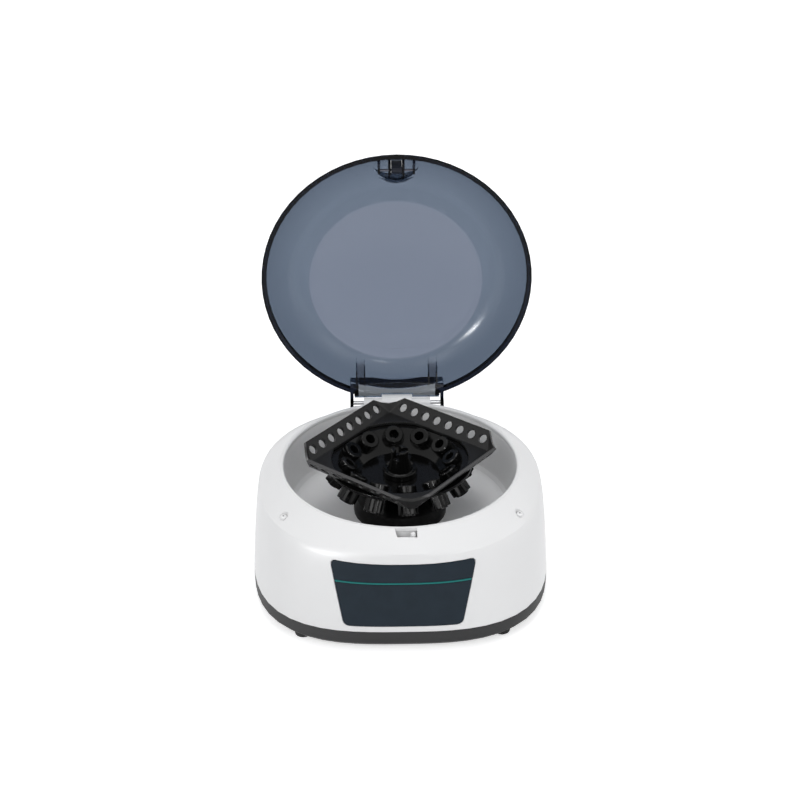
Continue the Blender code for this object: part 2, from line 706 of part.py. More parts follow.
def make_boss(materials):
    """The black dome over the motor's end."""
    base = BOWL_FLOOR_Z + GAP
    outer = dome_profile(BOSS_RADIUS, base, BOSS_SKIRT, BOSS_TOP_Z, BOSS_HOLE_RADIUS)
    inner = dome_profile(BOSS_RADIUS - BOSS_WALL, base, BOSS_SKIRT, BOSS_TOP_Z - BOSS_WALL, BOSS_HOLE_RADIUS)
    shell = turned("motor_boss", outer + inner[::-1], RING_SIDES, closed=True)
    new_object("motor_boss", shell, materials["boss"])


def make_motor(materials):
    """The can motor on its steel plate and three rubber dampers."""
    plate_low = TRAY_FLOOR + DAMPER_HEIGHT + 2 * GAP
    plate_high = plate_low + PLATE_THICKNESS
    base = plate_high + GAP
    bore = SHAFT_RADIUS + PLAY
    can = [(MOTOR_RADIUS - MOTOR_CHAMFER, base), (MOTOR_RADIUS, base + MOTOR_CHAMFER),
           (MOTOR_RADIUS, MOTOR_TOP_Z - MOTOR_CHAMFER), (MOTOR_RADIUS - MOTOR_CHAMFER, MOTOR_TOP_Z),
           (MOTOR_COLLAR_RADIUS, MOTOR_TOP_Z), (MOTOR_COLLAR_RADIUS, MOTOR_TOP_Z + MOTOR_COLLAR_HEIGHT),
           (bore, MOTOR_TOP_Z + MOTOR_COLLAR_HEIGHT), (bore, MOTOR_TOP_Z - MOTOR_BORE_DEPTH)]
    new_object("motor", turned("motor", can, RING_SIDES), materials["zinc"])
    plate = [(PLATE_RADIUS, plate_low), (PLATE_RADIUS, plate_high)]
    new_object("motor_plate", turned("motor_plate", plate, RING_SIDES), materials["steel"])
    for number in range(3):
        angle = tau * number / 3 + pi / 2
        place = Vector((DAMPER_RING * cos(angle), DAMPER_RING * sin(angle), TRAY_FLOOR + GAP))
        profile = [(DAMPER_RADIUS, 0.0), (DAMPER_WAIST, DAMPER_HEIGHT / 3),
                   (DAMPER_WAIST, DAMPER_HEIGHT * 2 / 3), (DAMPER_RADIUS, DAMPER_HEIGHT)]
        rings = [[point + place for point in circle(radius, z, SMALL_SIDES)] for radius, z in profile]
        new_object(f"damper_{number + 1}", loft("damper", rings), materials["rubber"])


def make_board(materials):
    """The control board on its posts, with its main components."""
    low = Vector((-BOARD_SIZE.x / 2, BOARD_Y - BOARD_SIZE.y / 2, TRAY_FLOOR + BOARD_POST_HEIGHT + GAP))
    board = new_object("control_board", box("control_board", low, low + BOARD_SIZE), materials["board"])
    parts = []
    for number, size in enumerate(BOARD_PART_SIZES):
        corner = Vector(((number - 1) * BOARD_PART_PITCH - size.x / 2, BOARD_Y - size.y / 2,
                         low.z + BOARD_SIZE.z / 2))
        parts.append(box("component", corner, corner + size))
    combine(board, tool("board_parts", joined("board_parts", parts)), "UNION")


def make_spindle(materials, axis):
    """The motor shaft with the seat that carries the rotor."""
    seat_top = DISH_FLOOR_Z - DISH_WALL - GAP
    profile = [(SHAFT_RADIUS, MOTOR_TOP_Z - MOTOR_BORE_DEPTH + GAP), (SHAFT_RADIUS, seat_top - SEAT_HEIGHT),
               (SEAT_RADIUS, seat_top - SEAT_HEIGHT), (SEAT_RADIUS, seat_top), (SHAFT_RADIUS, seat_top),
               (SHAFT_RADIUS, SHAFT_TOP_Z)]
    new_object("spindle", turned("spindle", profile, SMALL_SIDES), materials["steel"], axis)


def cone_angle():
    """Slope of the dish wall, to which the sockets stand square."""
    return atan2(DISH_SHELF_Z - DISH_FLOOR_Z, DISH_CONE_RADIUS - DISH_FLOOR_RADIUS)


def socket_frame(number):
    """Seat centre of a socket and the direction out of its mouth."""
    azimuth = ROTOR_TURN + tau * number / SOCKET_COUNT
    slope = cone_angle()
    height = DISH_FLOOR_Z + (SOCKET_RING - DISH_FLOOR_RADIUS) * sin(slope) / cos(slope)
    seat = Vector((SOCKET_RING * cos(azimuth), SOCKET_RING * sin(azimuth), height))
    out = Vector((-sin(slope) * cos(azimuth), -sin(slope) * sin(azimuth), cos(slope)))
    return seat, out


def sleeve_mesh(number):
    """One ribbed sleeve below a socket, from inside the dish wall to its open end."""
    sides = 4 * SLEEVE_RIBS

    def ribbed(z):
        points = circle(SLEEVE_RADIUS, z, sides)
        inner = circle(SLEEVE_RADIUS - SLEEVE_GROOVE, z, sides)
        return [points[i] if i % 4 < 2 else inner[i] for i in range(sides)]

    mesh = loft("sleeve", [ribbed(-SLEEVE_LENGTH), ribbed(-DISH_WALL / 2)])
    seat, out = socket_frame(number)
    turn = Vector((0, 0, 1)).rotation_difference(out).to_matrix().to_4x4()
    mesh.transform(Matrix.Translation(seat) @ turn)
    return mesh


def make_dish(materials, axis):
    """The tube rotor: a dish with twelve spot-faced sockets, each with a ribbed sleeve below."""
    bore = SHAFT_RADIUS + PLAY
    slope = cone_angle()
    step_in = DISH_WALL * sin(slope)
    profile = [(bore, DISH_FLOOR_Z), (DISH_FLOOR_RADIUS, DISH_FLOOR_Z), (DISH_CONE_RADIUS, DISH_SHELF_Z),
               (DISH_RADIUS, DISH_SHELF_Z), (DISH_RADIUS, DISH_SHELF_Z - DISH_SHELF_THICKNESS),
               (DISH_CONE_RADIUS + step_in, DISH_SHELF_Z - DISH_SHELF_THICKNESS),
               (DISH_FLOOR_RADIUS + step_in / 2, DISH_FLOOR_Z - DISH_WALL), (bore, DISH_FLOOR_Z - DISH_WALL)]
    dish = new_object("tube_rotor", turned("tube_rotor", profile, DISH_SIDES, closed=True),
                      materials["rotor"], axis)
    sleeves = joined("sleeves", [sleeve_mesh(number) for number in range(SOCKET_COUNT)])
    combine(dish, tool("add_sleeves", sleeves), "UNION")
    cutters = []
    for number in range(SOCKET_COUNT):
        seat, out = socket_frame(number)
        cutters.append(rod("socket", seat - out * (SLEEVE_LENGTH + DISH_WALL), seat + out * COLLAR_HEIGHT / 2,
                           ADAPTER_RADIUS + PLAY, SMALL_SIDES))
        cutters.append(rod("spot_face", seat, seat + out * 2 * COLLAR_HEIGHT, COLLAR_RADIUS + 2 * PLAY,
                           SMALL_SIDES))
    for half, name in enumerate(("cut_sockets", "cut_spot_faces")):
        combine(dish, tool(name, joined(name, cutters[half::2])), "DIFFERENCE")


def adapter_mesh():
    """One adapter along Z: body in the sleeve, collar above its seat, tapered bore."""
    top = GAP + COLLAR_HEIGHT
    outline = [(ADAPTER_RADIUS, -ADAPTER_LENGTH), (ADAPTER_RADIUS, GAP), (COLLAR_RADIUS, GAP),
               (COLLAR_RADIUS, top - COLLAR_CHAMFER), (COLLAR_RADIUS - COLLAR_CHAMFER, top),
               (ADAPTER_BORE, top), (ADAPTER_TIP_BORE, -ADAPTER_LENGTH)]
    return turned("adapter", outline, SMALL_SIDES, closed=True)


def make_adapters(materials, axis):
    """Twelve adapters, one in each socket."""
    mesh = adapter_mesh()
    for number in range(SOCKET_COUNT):
        seat, out = socket_frame(number)
        adapter = new_object(f"adapter_{number + 1:02d}", mesh.copy(), materials["rotor"], axis)
        adapter.location = seat
        adapter.rotation_euler = out.to_track_quat("Z", "Y").to_euler()


def frame_ring(half_width, corner, z, dip=0.0, arc=0.0):
    """A square ring with cut corners; an arc radius rounds the corners instead."""
    points = []
    per_corner = 5
    for quarter in range(4):
        middle = tau * quarter / 4 + tau / 8 + ROTOR_TURN + tau / 8
        reach = corner * sqrt(2) - half_width
        for step in range(per_corner):
            share = step / (per_corner - 1)
            if arc:
                half_arc = tau / 8 - atan2(sqrt(arc ** 2 - half_width ** 2), half_width)
                angle = middle + half_arc * (2 * share - 1)
                points.append(Vector((arc * cos(angle), arc * sin(angle), z)))
                continue
            side = (half_width - reach) / sqrt(2) * (2 * share - 1)
            low = z - dip * sin(pi * share)
            points.append(Vector((corner * cos(middle) - side * sin(middle),
                                  corner * sin(middle) + side * cos(middle), low)))
    return points


def make_strip_frame(materials, axis):
    """The square frame: a floor that shows in the corners, and four sloped walls with holes."""
    low = DISH_SHELF_Z + GAP
    floor = low + FRAME_FLOOR
    top = floor + FRAME_WALL_HEIGHT
    run = FRAME_WALL_HEIGHT / (sin(FRAME_WALL_ANGLE) / cos(FRAME_WALL_ANGLE))
    foot = FRAME_HALF_WIDTH
    skin = FRAME_WALL / sin(FRAME_WALL_ANGLE)
    corner = FRAME_CORNER
    lean = FRAME_CORNER_LEAN
    rings = [
        frame_ring(foot, corner, low, arc=FRAME_OPENING_RADIUS),
        frame_ring(foot, corner, floor, arc=FRAME_OPENING_RADIUS),
        frame_ring(foot + GAP, corner, floor),
        frame_ring(foot + run, corner + lean, top, FRAME_DIP),
        frame_ring(foot + run + skin / 2, corner + lean + skin / 2, top - skin / 2, FRAME_DIP),
        frame_ring(foot + skin, corner + skin / 2, low),
    ]
    frame = new_object("strip_frame", loft("strip_frame", rings, closed=True), materials["rotor"], axis)
    holes = strip_cutters(foot + run / 2, floor + FRAME_WALL_HEIGHT / 2)
    combine(frame, tool("cut_strips", holes), "DIFFERENCE")


def strip_cutters(reach, height):
    """Thirty-two rods square to the sloped walls."""
    rods = []
    normal_in, normal_up = sin(FRAME_WALL_ANGLE), cos(FRAME_WALL_ANGLE)
    for side in range(4):
        azimuth = ROTOR_TURN + tau / 8 + tau * side / 4
        away = Vector((cos(azimuth), sin(azimuth), 0))
        along = Vector((-sin(azimuth), cos(azimuth), 0))
        normal = Vector((-away.x * normal_in, -away.y * normal_in, normal_up))
        for hole in range(STRIP_HOLES):
            shift = (hole - (STRIP_HOLES - 1) / 2) * STRIP_PITCH
            centre = away * reach + along * shift + Vector((0, 0, height))
            rods.append(rod("strip_hole", centre - normal * 3 * FRAME_WALL, centre + normal * FRAME_WALL,
                            STRIP_HOLE_RADIUS, TINY_SIDES))
    return joined("cut_strips", rods)


def make_knob(materials, axis):
    """The rotor knob: round flange, cone and a cup split into prongs, over a blind bore."""
    low = DISH_FLOOR_Z + GAP
    flange = low + KNOB_FLANGE_HEIGHT
    bore = SHAFT_RADIUS + PLAY
    cap = SHAFT_TOP_Z + GAP
    profile = [(0.4 * bore, cap), (bore, cap), (bore, low), (KNOB_FLANGE_RADIUS, low),
               (KNOB_FLANGE_RADIUS, flange), (KNOB_FLANGE_RADIUS - KNOB_ROUND, flange + KNOB_ROUND),
               (KNOB_CONE_RADIUS + KNOB_ROUND, flange + KNOB_ROUND - KNOB_FLANGE_DISH),
               (KNOB_CONE_RADIUS, flange), (KNOB_NECK_RADIUS, KNOB_NECK_Z),
               (KNOB_NECK_RADIUS, KNOB_TOP_Z - KNOB_ROUND), (KNOB_NECK_RADIUS - KNOB_ROUND, KNOB_TOP_Z),
               (KNOB_CUP_RADIUS + KNOB_ROUND, KNOB_TOP_Z), (KNOB_CUP_RADIUS, KNOB_TOP_Z - KNOB_ROUND),
               (KNOB_CUP_RADIUS, cap + KNOB_CAP), (0.4 * bore, cap + KNOB_CAP)]
    knob = new_object("rotor_knob", turned("rotor_knob", profile, KNOB_SIDES), materials["rotor"], axis)
    slots = []
    for number in range(KNOB_PRONGS):
        angle = tau * number / KNOB_PRONGS
        across = Matrix.Rotation(angle, 4, "Z")
        low_corner = Vector((0.0, -KNOB_SLOT_WIDTH / 2, KNOB_NECK_Z + KNOB_CAP / 2))
        high_corner = Vector((2 * KNOB_NECK_RADIUS, KNOB_SLOT_WIDTH / 2, KNOB_TOP_Z + KNOB_CAP))
        slot = box("slot", low_corner, high_corner)
        slot.transform(across)
        slots.append(slot)
    for number, slot in enumerate(slots, start=1):
        combine(knob, tool(f"cut_knob_{number}", slot), "DIFFERENCE")


def lid_profile():
    """The dome as (radius, height, shift) from the rim to the flat top, shut and above the rim."""
    points = [(LID_RADIUS, 0.0, 0.0), (LID_RADIUS, LID_SKIRT, LID_TOP_SHIFT * LID_SKIRT / LID_HEIGHT)]
    reach = LID_RADIUS - LID_TOP_RADIUS
    rise = LID_HEIGHT - LID_SKIRT
    for step in range(1, LID_STEPS + 1):
        angle = pi / 2 * step / LID_STEPS
        height = LID_SKIRT + rise * sin(angle) ** DOME_RISE_POWER
        radius = LID_RADIUS - reach * (1 - cos(angle)) ** DOME_REACH_POWER
        points.append((radius, height, LID_TOP_SHIFT * height / LID_HEIGHT))
    return points


def lid_ring(radius, z, shift):
    """A ring of the dome in the shut lid's place."""
    return circle(radius, LID_RIM_Z + z, LID_SIDES, centre_y=shift)


def inset_profile(depth):
    """The dome's profile drawn in along its normals, from the skirt up."""
    outer = lid_profile()
    points = []
    for before, here, after in zip(outer, outer[1:], outer[2:] + [outer[-1]]):
        across, up = after[0] - before[0], after[1] - before[1]
        if after is here:
            across, up = -1.0, 0.0
        length = hypot(across, up)
        points.append((here[0] - depth * up / length, here[1] + depth * across / length, here[2]))
    return points


def lid_mesh():
    """The dome with its thick rim, flat top and a small step round the top."""
    outer = lid_profile()
    top = outer[-1]
    rings = [lid_ring(top[0] - LID_TOP_STEP, top[1] - LID_TOP_STEP, top[2])]
    rings += [lid_ring(*point) for point in reversed(outer)]
    rings.append(lid_ring(LID_RADIUS - LID_RIM_WIDTH, 0.0, 0.0))
    rings.append(lid_ring(LID_RADIUS - LID_RIM_WIDTH, LID_RIM_HEIGHT, 0.0))
    rings += [lid_ring(*point) for point in inset_profile(LID_WALL)]
    return loft("lid", rings)


def dome_solid():
    """A solid that ends in the middle of the dome's wall, to trim what is added inside it."""
    middle = LID_WALL / 2
    rings = [lid_ring(LID_RADIUS - middle, GAP / 2, 0.0)]
    return loft("dome_guide", rings + [lid_ring(*point) for point in inset_profile(middle)])


def ellipsoid(name, centre, radii, steps=20, rows=12):
    """An ellipsoid for the finger scoop."""
    shape = bmesh.new()
    place = Matrix.Translation(centre) @ Matrix.Diagonal((*radii, 1))
    bmesh.ops.create_uvsphere(shape, u_segments=steps, v_segments=rows, radius=1.0, matrix=place)
    return finish_mesh(name, shape)


def arm_meshes():
    """Both hinge arms: a thick root in the lid wall and a thin plate with a round eye."""
    root_front = HINGE_Y - BAND_BACK - BAND_THICKNESS
    roots, plates = [], []
    for side in (-1, 1):
        outer = HINGE_X + side * (ARM_OUTER - GAP)
        inner = HINGE_X + side * (ARM_OUTER - ARM_ROOT_WIDTH)
        low = Vector((min(outer, inner), root_front, LID_RIM_Z + GAP))
        high = Vector((max(outer, inner), HINGE_Y - BAND_BACK / 2, LID_RIM_Z + ARM_ROOT_HEIGHT))
        roots.append(box("arm_root", low, high))
        outline = arm_outline(root_front)
        far = HINGE_X + side * ARM_OUTER
        near = far - side * ARM_PLATE_WIDTH
        plates.append(extruded("arm_plate", outline, min(near, far), max(near, far)))
    return roots, plates


def arm_outline(root_front):
    """Side view of an arm plate, from the lid wall to the eye round the pin."""
    points = []
    start, end = radians(-120), radians(80)
    for step in range(EYE_STEPS + 1):
        angle = start + (end - start) * step / EYE_STEPS
        points.append((HINGE_Y + ARM_EYE_RADIUS * cos(angle), HINGE_Z + ARM_EYE_RADIUS * sin(angle)))
    top = LID_RIM_Z + ARM_ROOT_HEIGHT
    points += [(HINGE_Y - BAND_BACK / 2, top - GAP), (root_front + GAP, top - GAP),
               (root_front + GAP, LID_RIM_Z + 2 * GAP), (HINGE_Y - BAND_BACK / 2, LID_RIM_Z + 2 * GAP)]
    return points


def make_lid(materials, axis):
    """The lid with its arms, gussets, scoop, latch ribs and openings."""
    lid = new_object("lid", lid_mesh(), materials["smoked"], axis)
    guide = tool("dome_guide", dome_solid(), axis)
    roots, plates = arm_meshes()
    bulge_radii = SCOOP_RADII + Vector((SCOOP_WALL, SCOOP_WALL, SCOOP_WALL))
    inside = [("lid_band", band_mesh()),
              ("scoop_bulge", ellipsoid("scoop_bulge", scoop_centre(), bulge_radii))]
    inside += [(f"lid_gusset_{number}", mesh) for number, mesh in enumerate(gusset_meshes())]
    seats = []
    for number in range(4):
        name = f"seat_guide_{number}"
        seats.append(tool(name, housing_solid(name, SEAT_CLEARANCE + number * GAP / 2), axis))
    for number, (name, mesh) in enumerate(inside):
        item = combine(tool(name, mesh, axis), guide, "INTERSECT")
        combine(lid, combine(item, seats[min(number, 1)], "DIFFERENCE"), "UNION")
    for name, meshes in (("arm_roots", roots), ("arm_plates", plates)):
        item = combine(tool(name, joined(name, meshes), axis), seats[2], "DIFFERENCE")
        combine(lid, item, "UNION")
    combine(lid, tool("latch_ribs", joined("latch_ribs", latch_rib_meshes()), axis), "UNION")
    combine(lid, tool("cut_knuckle", knuckle_notch(), axis), "DIFFERENCE")
    flaps = tool("lid_flaps", joined("lid_flaps", flap_meshes()), axis)
    combine(lid, combine(flaps, seats[3], "DIFFERENCE"), "UNION")
    cuts = [("cut_scoop", ellipsoid("cut_scoop", scoop_centre(), SCOOP_RADII)), ("cut_window", window_mesh()),
            ("cut_arm_bores", arm_bore()), ("cut_latch_bore", latch_bore())]
    for name, mesh in cuts:
        combine(lid, tool(name, mesh, axis), "DIFFERENCE")


def scoop_centre():
    """Centre of the finger scoop's hollow."""
    return Vector((LATCH_X, SCOOP_Y, SCOOP_Z))


def band_mesh():
    """The thick, curved edge between the arms."""
    back = HINGE_Y - BAND_BACK
    low = Vector((HINGE_X - ARM_OUTER + GAP, back - BAND_THICKNESS, LID_RIM_Z + GAP / 2))
    high = Vector((HINGE_X + ARM_OUTER - GAP, back + GAP, LID_RIM_Z + BAND_HEIGHT))
    return box("lid_band", low, high)


def gusset_meshes():
    """Two pairs of thin gussets that brace the arms inside the dome."""
    back = HINGE_Y - BAND_BACK - BAND_THICKNESS / 2
    plates = []
    for side in (-1, 1):
        for reach in (GUSSET_OUTER, GUSSET_INNER):
            x = HINGE_X + side * reach
            depth = GUSSET_DEPTH if reach == GUSSET_OUTER else GUSSET_DEPTH * 0.8
            outline = [(back, LID_RIM_Z + GAP), (back - depth, LID_RIM_Z + GAP),
                       (back - depth - GUSSET_DEPTH / 2, LID_RIM_Z + GUSSET_HEIGHT),
                       (back, LID_RIM_Z + GUSSET_HEIGHT)]
            plates.append(extruded("gusset", outline, x - GUSSET_THICKNESS / 2, x + GUSSET_THICKNESS / 2))
    return plates


def flap_meshes():
    """Thin flaps along the flat back, either side of the knuckle."""
    back = HINGE_Y - BAND_BACK
    plates = []
    for side in (-1, 1):
        near = HINGE_X + side * (KNUCKLE_HALF_WIDTH + 3 * GAP)
        far = HINGE_X + side * (ARM_OUTER - ARM_ROOT_WIDTH / 2)
        low = Vector((min(near, far), back - FLAP_REACH, LID_RIM_Z + 3 * GAP))
        high = Vector((max(near, far), back + FLAP_REACH, LID_RIM_Z + 3 * GAP + FLAP_THICKNESS))
        plates.append(box("flap", low, high))
    return plates


def knuckle_notch():
    """What is cut from the lid behind its flat back, between the arms."""
    reach = ARM_OUTER - ARM_PLATE_WIDTH
    low = Vector((HINGE_X - reach, HINGE_Y - BAND_BACK, LID_RIM_Z - LID_RIM_HEIGHT))
    high = Vector((HINGE_X + reach, HINGE_Y + BAND_BACK, LID_RIM_Z + BAND_HEIGHT - 2 * GAP))
    return box("cut_knuckle", low, high)


def arm_bore():
    """The pin bore through both arms."""
    start = Vector((HINGE_X - 2 * ARM_OUTER, HINGE_Y, HINGE_Z))
    return rod("arm_bore", start, start + Vector((4 * ARM_OUTER, 0, 0)), PIN_RADIUS + PLAY, SMALL_SIDES)


def window_reach():
    """Half the width of the opening that the latch works in."""
    return LATCH_HALF_WIDTH + 3 * GAP / 2


def latch_rib_meshes():
    """Two ribs at the ends of the latch's cross pin, and two beside the latch itself."""
    plates = []
    inner = window_reach() + INNER_RIB_THICKNESS / 2 - PLAY
    for reach, thickness in ((LATCH_RIB_X, LATCH_RIB_THICKNESS), (inner, INNER_RIB_THICKNESS)):
        for side in (-1, 1):
            x = LATCH_X + side * reach
            low = Vector((x - thickness / 2, LATCH_Y - LATCH_RIB_FRONT, LATCH_Z - LATCH_RIB_DROP))
            high = Vector((x + thickness / 2, LATCH_Y + LATCH_RIB_BACK, LATCH_Z + LATCH_RIB_RISE))
            plates.append(box("latch_rib", low, high))
    return plates


def window_mesh():
    """The opening in the scoop's floor, where the latch works."""
    reach = window_reach()
    low = Vector((LATCH_X - reach, LATCH_Y - WINDOW_FRONT, LATCH_Z - 3 * LATCH_RIB_DROP))
    high = Vector((LATCH_X + reach, LATCH_Y + WINDOW_BACK, SCOOP_Z - SCOOP_RADII.z / 4))
    return box("cut_window", low, high)


def latch_bore():
    """The cross pin's bore in the latch ribs."""
    start = Vector((LATCH_X - 2 * LATCH_RIB_X, LATCH_Y, LATCH_Z))
    end = start + Vector((4 * LATCH_RIB_X, 0, 0))
    return rod("latch_bore", start, end, LATCH_PIN_RADIUS + PLAY, TINY_SIDES)


def make_latch(materials, lid_axis, latch_axis):
    """The latch lever with its hook, and its cross pin."""
    hub = LATCH_HUB_RADIUS
    front = HOOK_BACK + HOOK_THICKNESS
    outline = [(-HOOK_BACK, -HOOK_DROP), (-front, -HOOK_DROP), (-front - HOOK_BARB, HOOK_BARB - HOOK_DROP),
               (-front, 1.4 * HOOK_BARB - HOOK_DROP), (-front, -hub / 2), (-THUMB_REACH, hub),
               (-THUMB_REACH - THUMB_THICKNESS / 2, THUMB_RISE),
               (THUMB_THICKNESS / 2 - THUMB_REACH, THUMB_RISE),
               (THUMB_THICKNESS - THUMB_REACH, hub + THUMB_THICKNESS)]
    turns = [tau * step / TINY_SIDES for step in range(TINY_SIDES // 2 + 1)]
    outline += [(hub * sin(turn), hub * cos(turn)) for turn in turns]
    outline.append((-HOOK_BACK, -hub))
    placed = [(LATCH_Y + y, LATCH_Z + z) for y, z in outline]
    low, high = LATCH_X - LATCH_HALF_WIDTH, LATCH_X + LATCH_HALF_WIDTH
    plate = extruded("latch_lever", placed, low, high)
    lever = new_object("latch_lever", plate, materials["latch"], latch_axis)
    start = Vector((low - LATCH_HALF_WIDTH, LATCH_Y, LATCH_Z))
    bore = rod("lever_bore", start, start + Vector((4 * LATCH_HALF_WIDTH, 0, 0)),
               LATCH_PIN_RADIUS + PLAY, TINY_SIDES)
    combine(lever, tool("cut_lever_bore", bore, latch_axis), "DIFFERENCE")
    reach = LATCH_RIB_X + LATCH_RIB_THICKNESS / 2
    pin = rod("latch_pin", Vector((LATCH_X - reach, LATCH_Y, LATCH_Z)),
              Vector((LATCH_X + reach, LATCH_Y, LATCH_Z)), LATCH_PIN_RADIUS, TINY_SIDES)
    new_object("latch_pin", pin, materials["steel"], lid_axis)


def barrel(name, radius, half_width, floor):
    """A knuckle round the hinge axis that stands on a block down to a floor height."""
    outline = []
    for step in range(EYE_STEPS + 1):
        angle = pi * step / EYE_STEPS
        outline.append((HINGE_Y + radius * cos(angle), HINGE_Z + radius * sin(angle)))
    outline += [(HINGE_Y - radius, floor), (HINGE_Y + radius, floor)]
    return extruded(name, outline, HINGE_X - half_width, HINGE_X + half_width)


def make_bracket(materials):
    """The white hinge knuckle at the back, fitted to the housing, and the two pins."""
    low = Vector((HINGE_X - BRACKET_HALF_WIDTH, HINGE_Y - BRACKET_FRONT, BRACKET_BOTTOM_Z))
    high = Vector((HINGE_X + BRACKET_HALF_WIDTH, HINGE_Y + BRACKET_BACK, BRACKET_LEDGE_Z))
    bracket = new_object("hinge_bracket", box("hinge_bracket", low, high), materials["white"])
    middle = (BRACKET_BOTTOM_Z + BRACKET_LEDGE_Z) / 2
    barrels = [tool("bracket_barrel", barrel("bracket_barrel", BARREL_RADIUS, BARREL_HALF_WIDTH, middle)),
               tool("bracket_knuckle", barrel("bracket_knuckle", KNUCKLE_RADIUS, KNUCKLE_HALF_WIDTH,
                                              middle + GAP))]
    for item in barrels:
        combine(bracket, item, "UNION")
    combine(bracket, tool("housing_guide", housing_solid("housing_guide", GAP)), "DIFFERENCE")
    pins = []
    for name, side in (("hinge_pin_left", -1), ("hinge_pin_right", 1)):
        outer = Vector((HINGE_X + side * ARM_OUTER, HINGE_Y, HINGE_Z))
        inner = Vector((HINGE_X + side * (BARREL_HALF_WIDTH - PIN_BORE_DEPTH), HINGE_Y, HINGE_Z))
        new_object(name, rod(name, inner, outer, PIN_RADIUS, SMALL_SIDES), materials["steel"])
        blind = inner - Vector((side * GAP, 0, 0))
        pins.append(rod("pin_bore", blind, outer, PIN_RADIUS + PLAY, SMALL_SIDES))
    combine(bracket, tool("cut_pin_bores", joined("cut_pin_bores", pins)), "DIFFERENCE")


def make_panel(materials):
    """The front panel and the teal line let into it."""
    face = -PANEL_PROUD
    slab = front_slab("front_panel", panel_rows(0.0), face, PANEL_THICKNESS - PANEL_PROUD)
    panel = new_object("front_panel", slab, materials["panel"])
    groove = front_slab("cut_stripe", stripe_rows(GAP, 2 * PANEL_CORNER), face - PANEL_THICKNESS,
                        face + STRIPE_DEPTH + GAP)
    combine(panel, tool("cut_stripe", groove), "DIFFERENCE")
    stripe = front_slab("panel_stripe", stripe_rows(0.0, -GAP), face, face + STRIPE_DEPTH)
    new_object("panel_stripe", stripe, materials["teal"])


def stripe_rows(margin, overshoot):
    """Two rows of points for the line across the panel."""
    rows = []
    for z in (STRIPE_Z - STRIPE_HALF_HEIGHT - margin, STRIPE_Z + STRIPE_HALF_HEIGHT + margin):
        slope = (STRIPE_Z - PANEL_BOTTOM_Z) / (PANEL_TOP_Z - PANEL_BOTTOM_Z)
        half = PANEL_BOTTOM_HALF + (PANEL_TOP_HALF - PANEL_BOTTOM_HALF) * slope + overshoot
        shares = [2 * column / STRIPE_COLUMNS - 1 for column in range(STRIPE_COLUMNS + 1)]
        rows.append([(half * share, z) for share in shares])
    return rows


def make_lock(materials, nub_axis):
    """The nub in the catch slot and the switch below it."""
    bottom = NUB_TOP_Z - NUB_LENGTH
    place = Vector((NUB_X, NUB_Y, 0))
    profile = [(NUB_RADIUS, bottom), (NUB_RADIUS, NUB_TOP_Z - NUB_RADIUS),
               (NUB_RADIUS * 0.8, NUB_TOP_Z - NUB_RADIUS * 0.4), (NUB_RADIUS * 0.35, NUB_TOP_Z)]
    rings = [[point + place for point in circle(radius, z, TINY_SIDES)] for radius, z in profile]
    new_object("lock_nub", loft("lock_nub", rings), materials["white"], nub_axis)
    top = bottom + SWITCH_GRIP
    low = Vector((NUB_X - SWITCH_SIZE.x / 2, NUB_Y - SWITCH_SHIFT - SWITCH_SIZE.y / 2, top - SWITCH_SIZE.z))
    switch = new_object("lock_switch", box("lock_switch", low, low + SWITCH_SIZE), materials["black"])
    guide = rod("guide", Vector((NUB_X, NUB_Y, bottom - NUB_TRAVEL - GAP)), Vector((NUB_X, NUB_Y, top + GAP)),
                NUB_RADIUS + PLAY, TINY_SIDES)
    combine(switch, tool("cut_guide", guide), "DIFFERENCE")


def hollow_insert(name, x, z, size, wall, depth, materials):
    """A rectangular insert in the rear wall, open to the back."""
    low = Vector((x - size.x / 2, REAR_FACE_Y - size.y, z - size.z / 2))
    insert = new_object(name, box(name, low, low + size), materials["black"])
    inner_low = Vector((low.x + wall, REAR_FACE_Y - depth, low.z + wall))
    inner_high = Vector((low.x + size.x - wall, REAR_FACE_Y + wall, low.z + size.z - wall))
    combine(insert, tool(f"cut_{name}_mouth", box(name, inner_low, inner_high)), "DIFFERENCE")
    return insert


def make_back(materials, rocker_axis):
    """The power inlet with its three blades, and the power switch."""
    inlet = hollow_insert("power_inlet", INLET_X, INLET_Z, INLET_SIZE, INLET_WALL, INLET_DEPTH, materials)
    blades = []
    for step in (-1, 0, 1):
        centre = Vector((INLET_X + step * INLET_PIN_PITCH, REAR_FACE_Y - INLET_DEPTH,
                         INLET_Z + (INLET_PIN_RISE if step == 0 else -INLET_PIN_RISE)))
        half = INLET_PIN / 2
        blades.append(box("blade", centre - Vector((half.x, GAP, half.z)),
                          centre + Vector((half.x, INLET_PIN.y, half.z))))
    combine(inlet, tool("inlet_blades", joined("inlet_blades", blades)), "UNION")
    hollow_insert("rocker_bezel", ROCKER_X, ROCKER_Z, BEZEL_SIZE, BEZEL_WALL, BEZEL_DEPTH, materials)
    half_height = BEZEL_SIZE.z / 2 - BEZEL_WALL - 3 * GAP
    half_width = BEZEL_SIZE.x / 2 - BEZEL_WALL - GAP
    front = REAR_FACE_Y - ROCKER_THICKNESS
    outline = [(front, -half_height), (REAR_FACE_Y, -half_height), (REAR_FACE_Y - ROCKER_CROWN, 0.0),
               (REAR_FACE_Y, half_height), (front, half_height)]
    placed = [(y, ROCKER_Z + z) for y, z in outline]
    new_object("rocker", extruded("rocker", placed, ROCKER_X - half_width, ROCKER_X + half_width),
               materials["black"], rocker_axis)


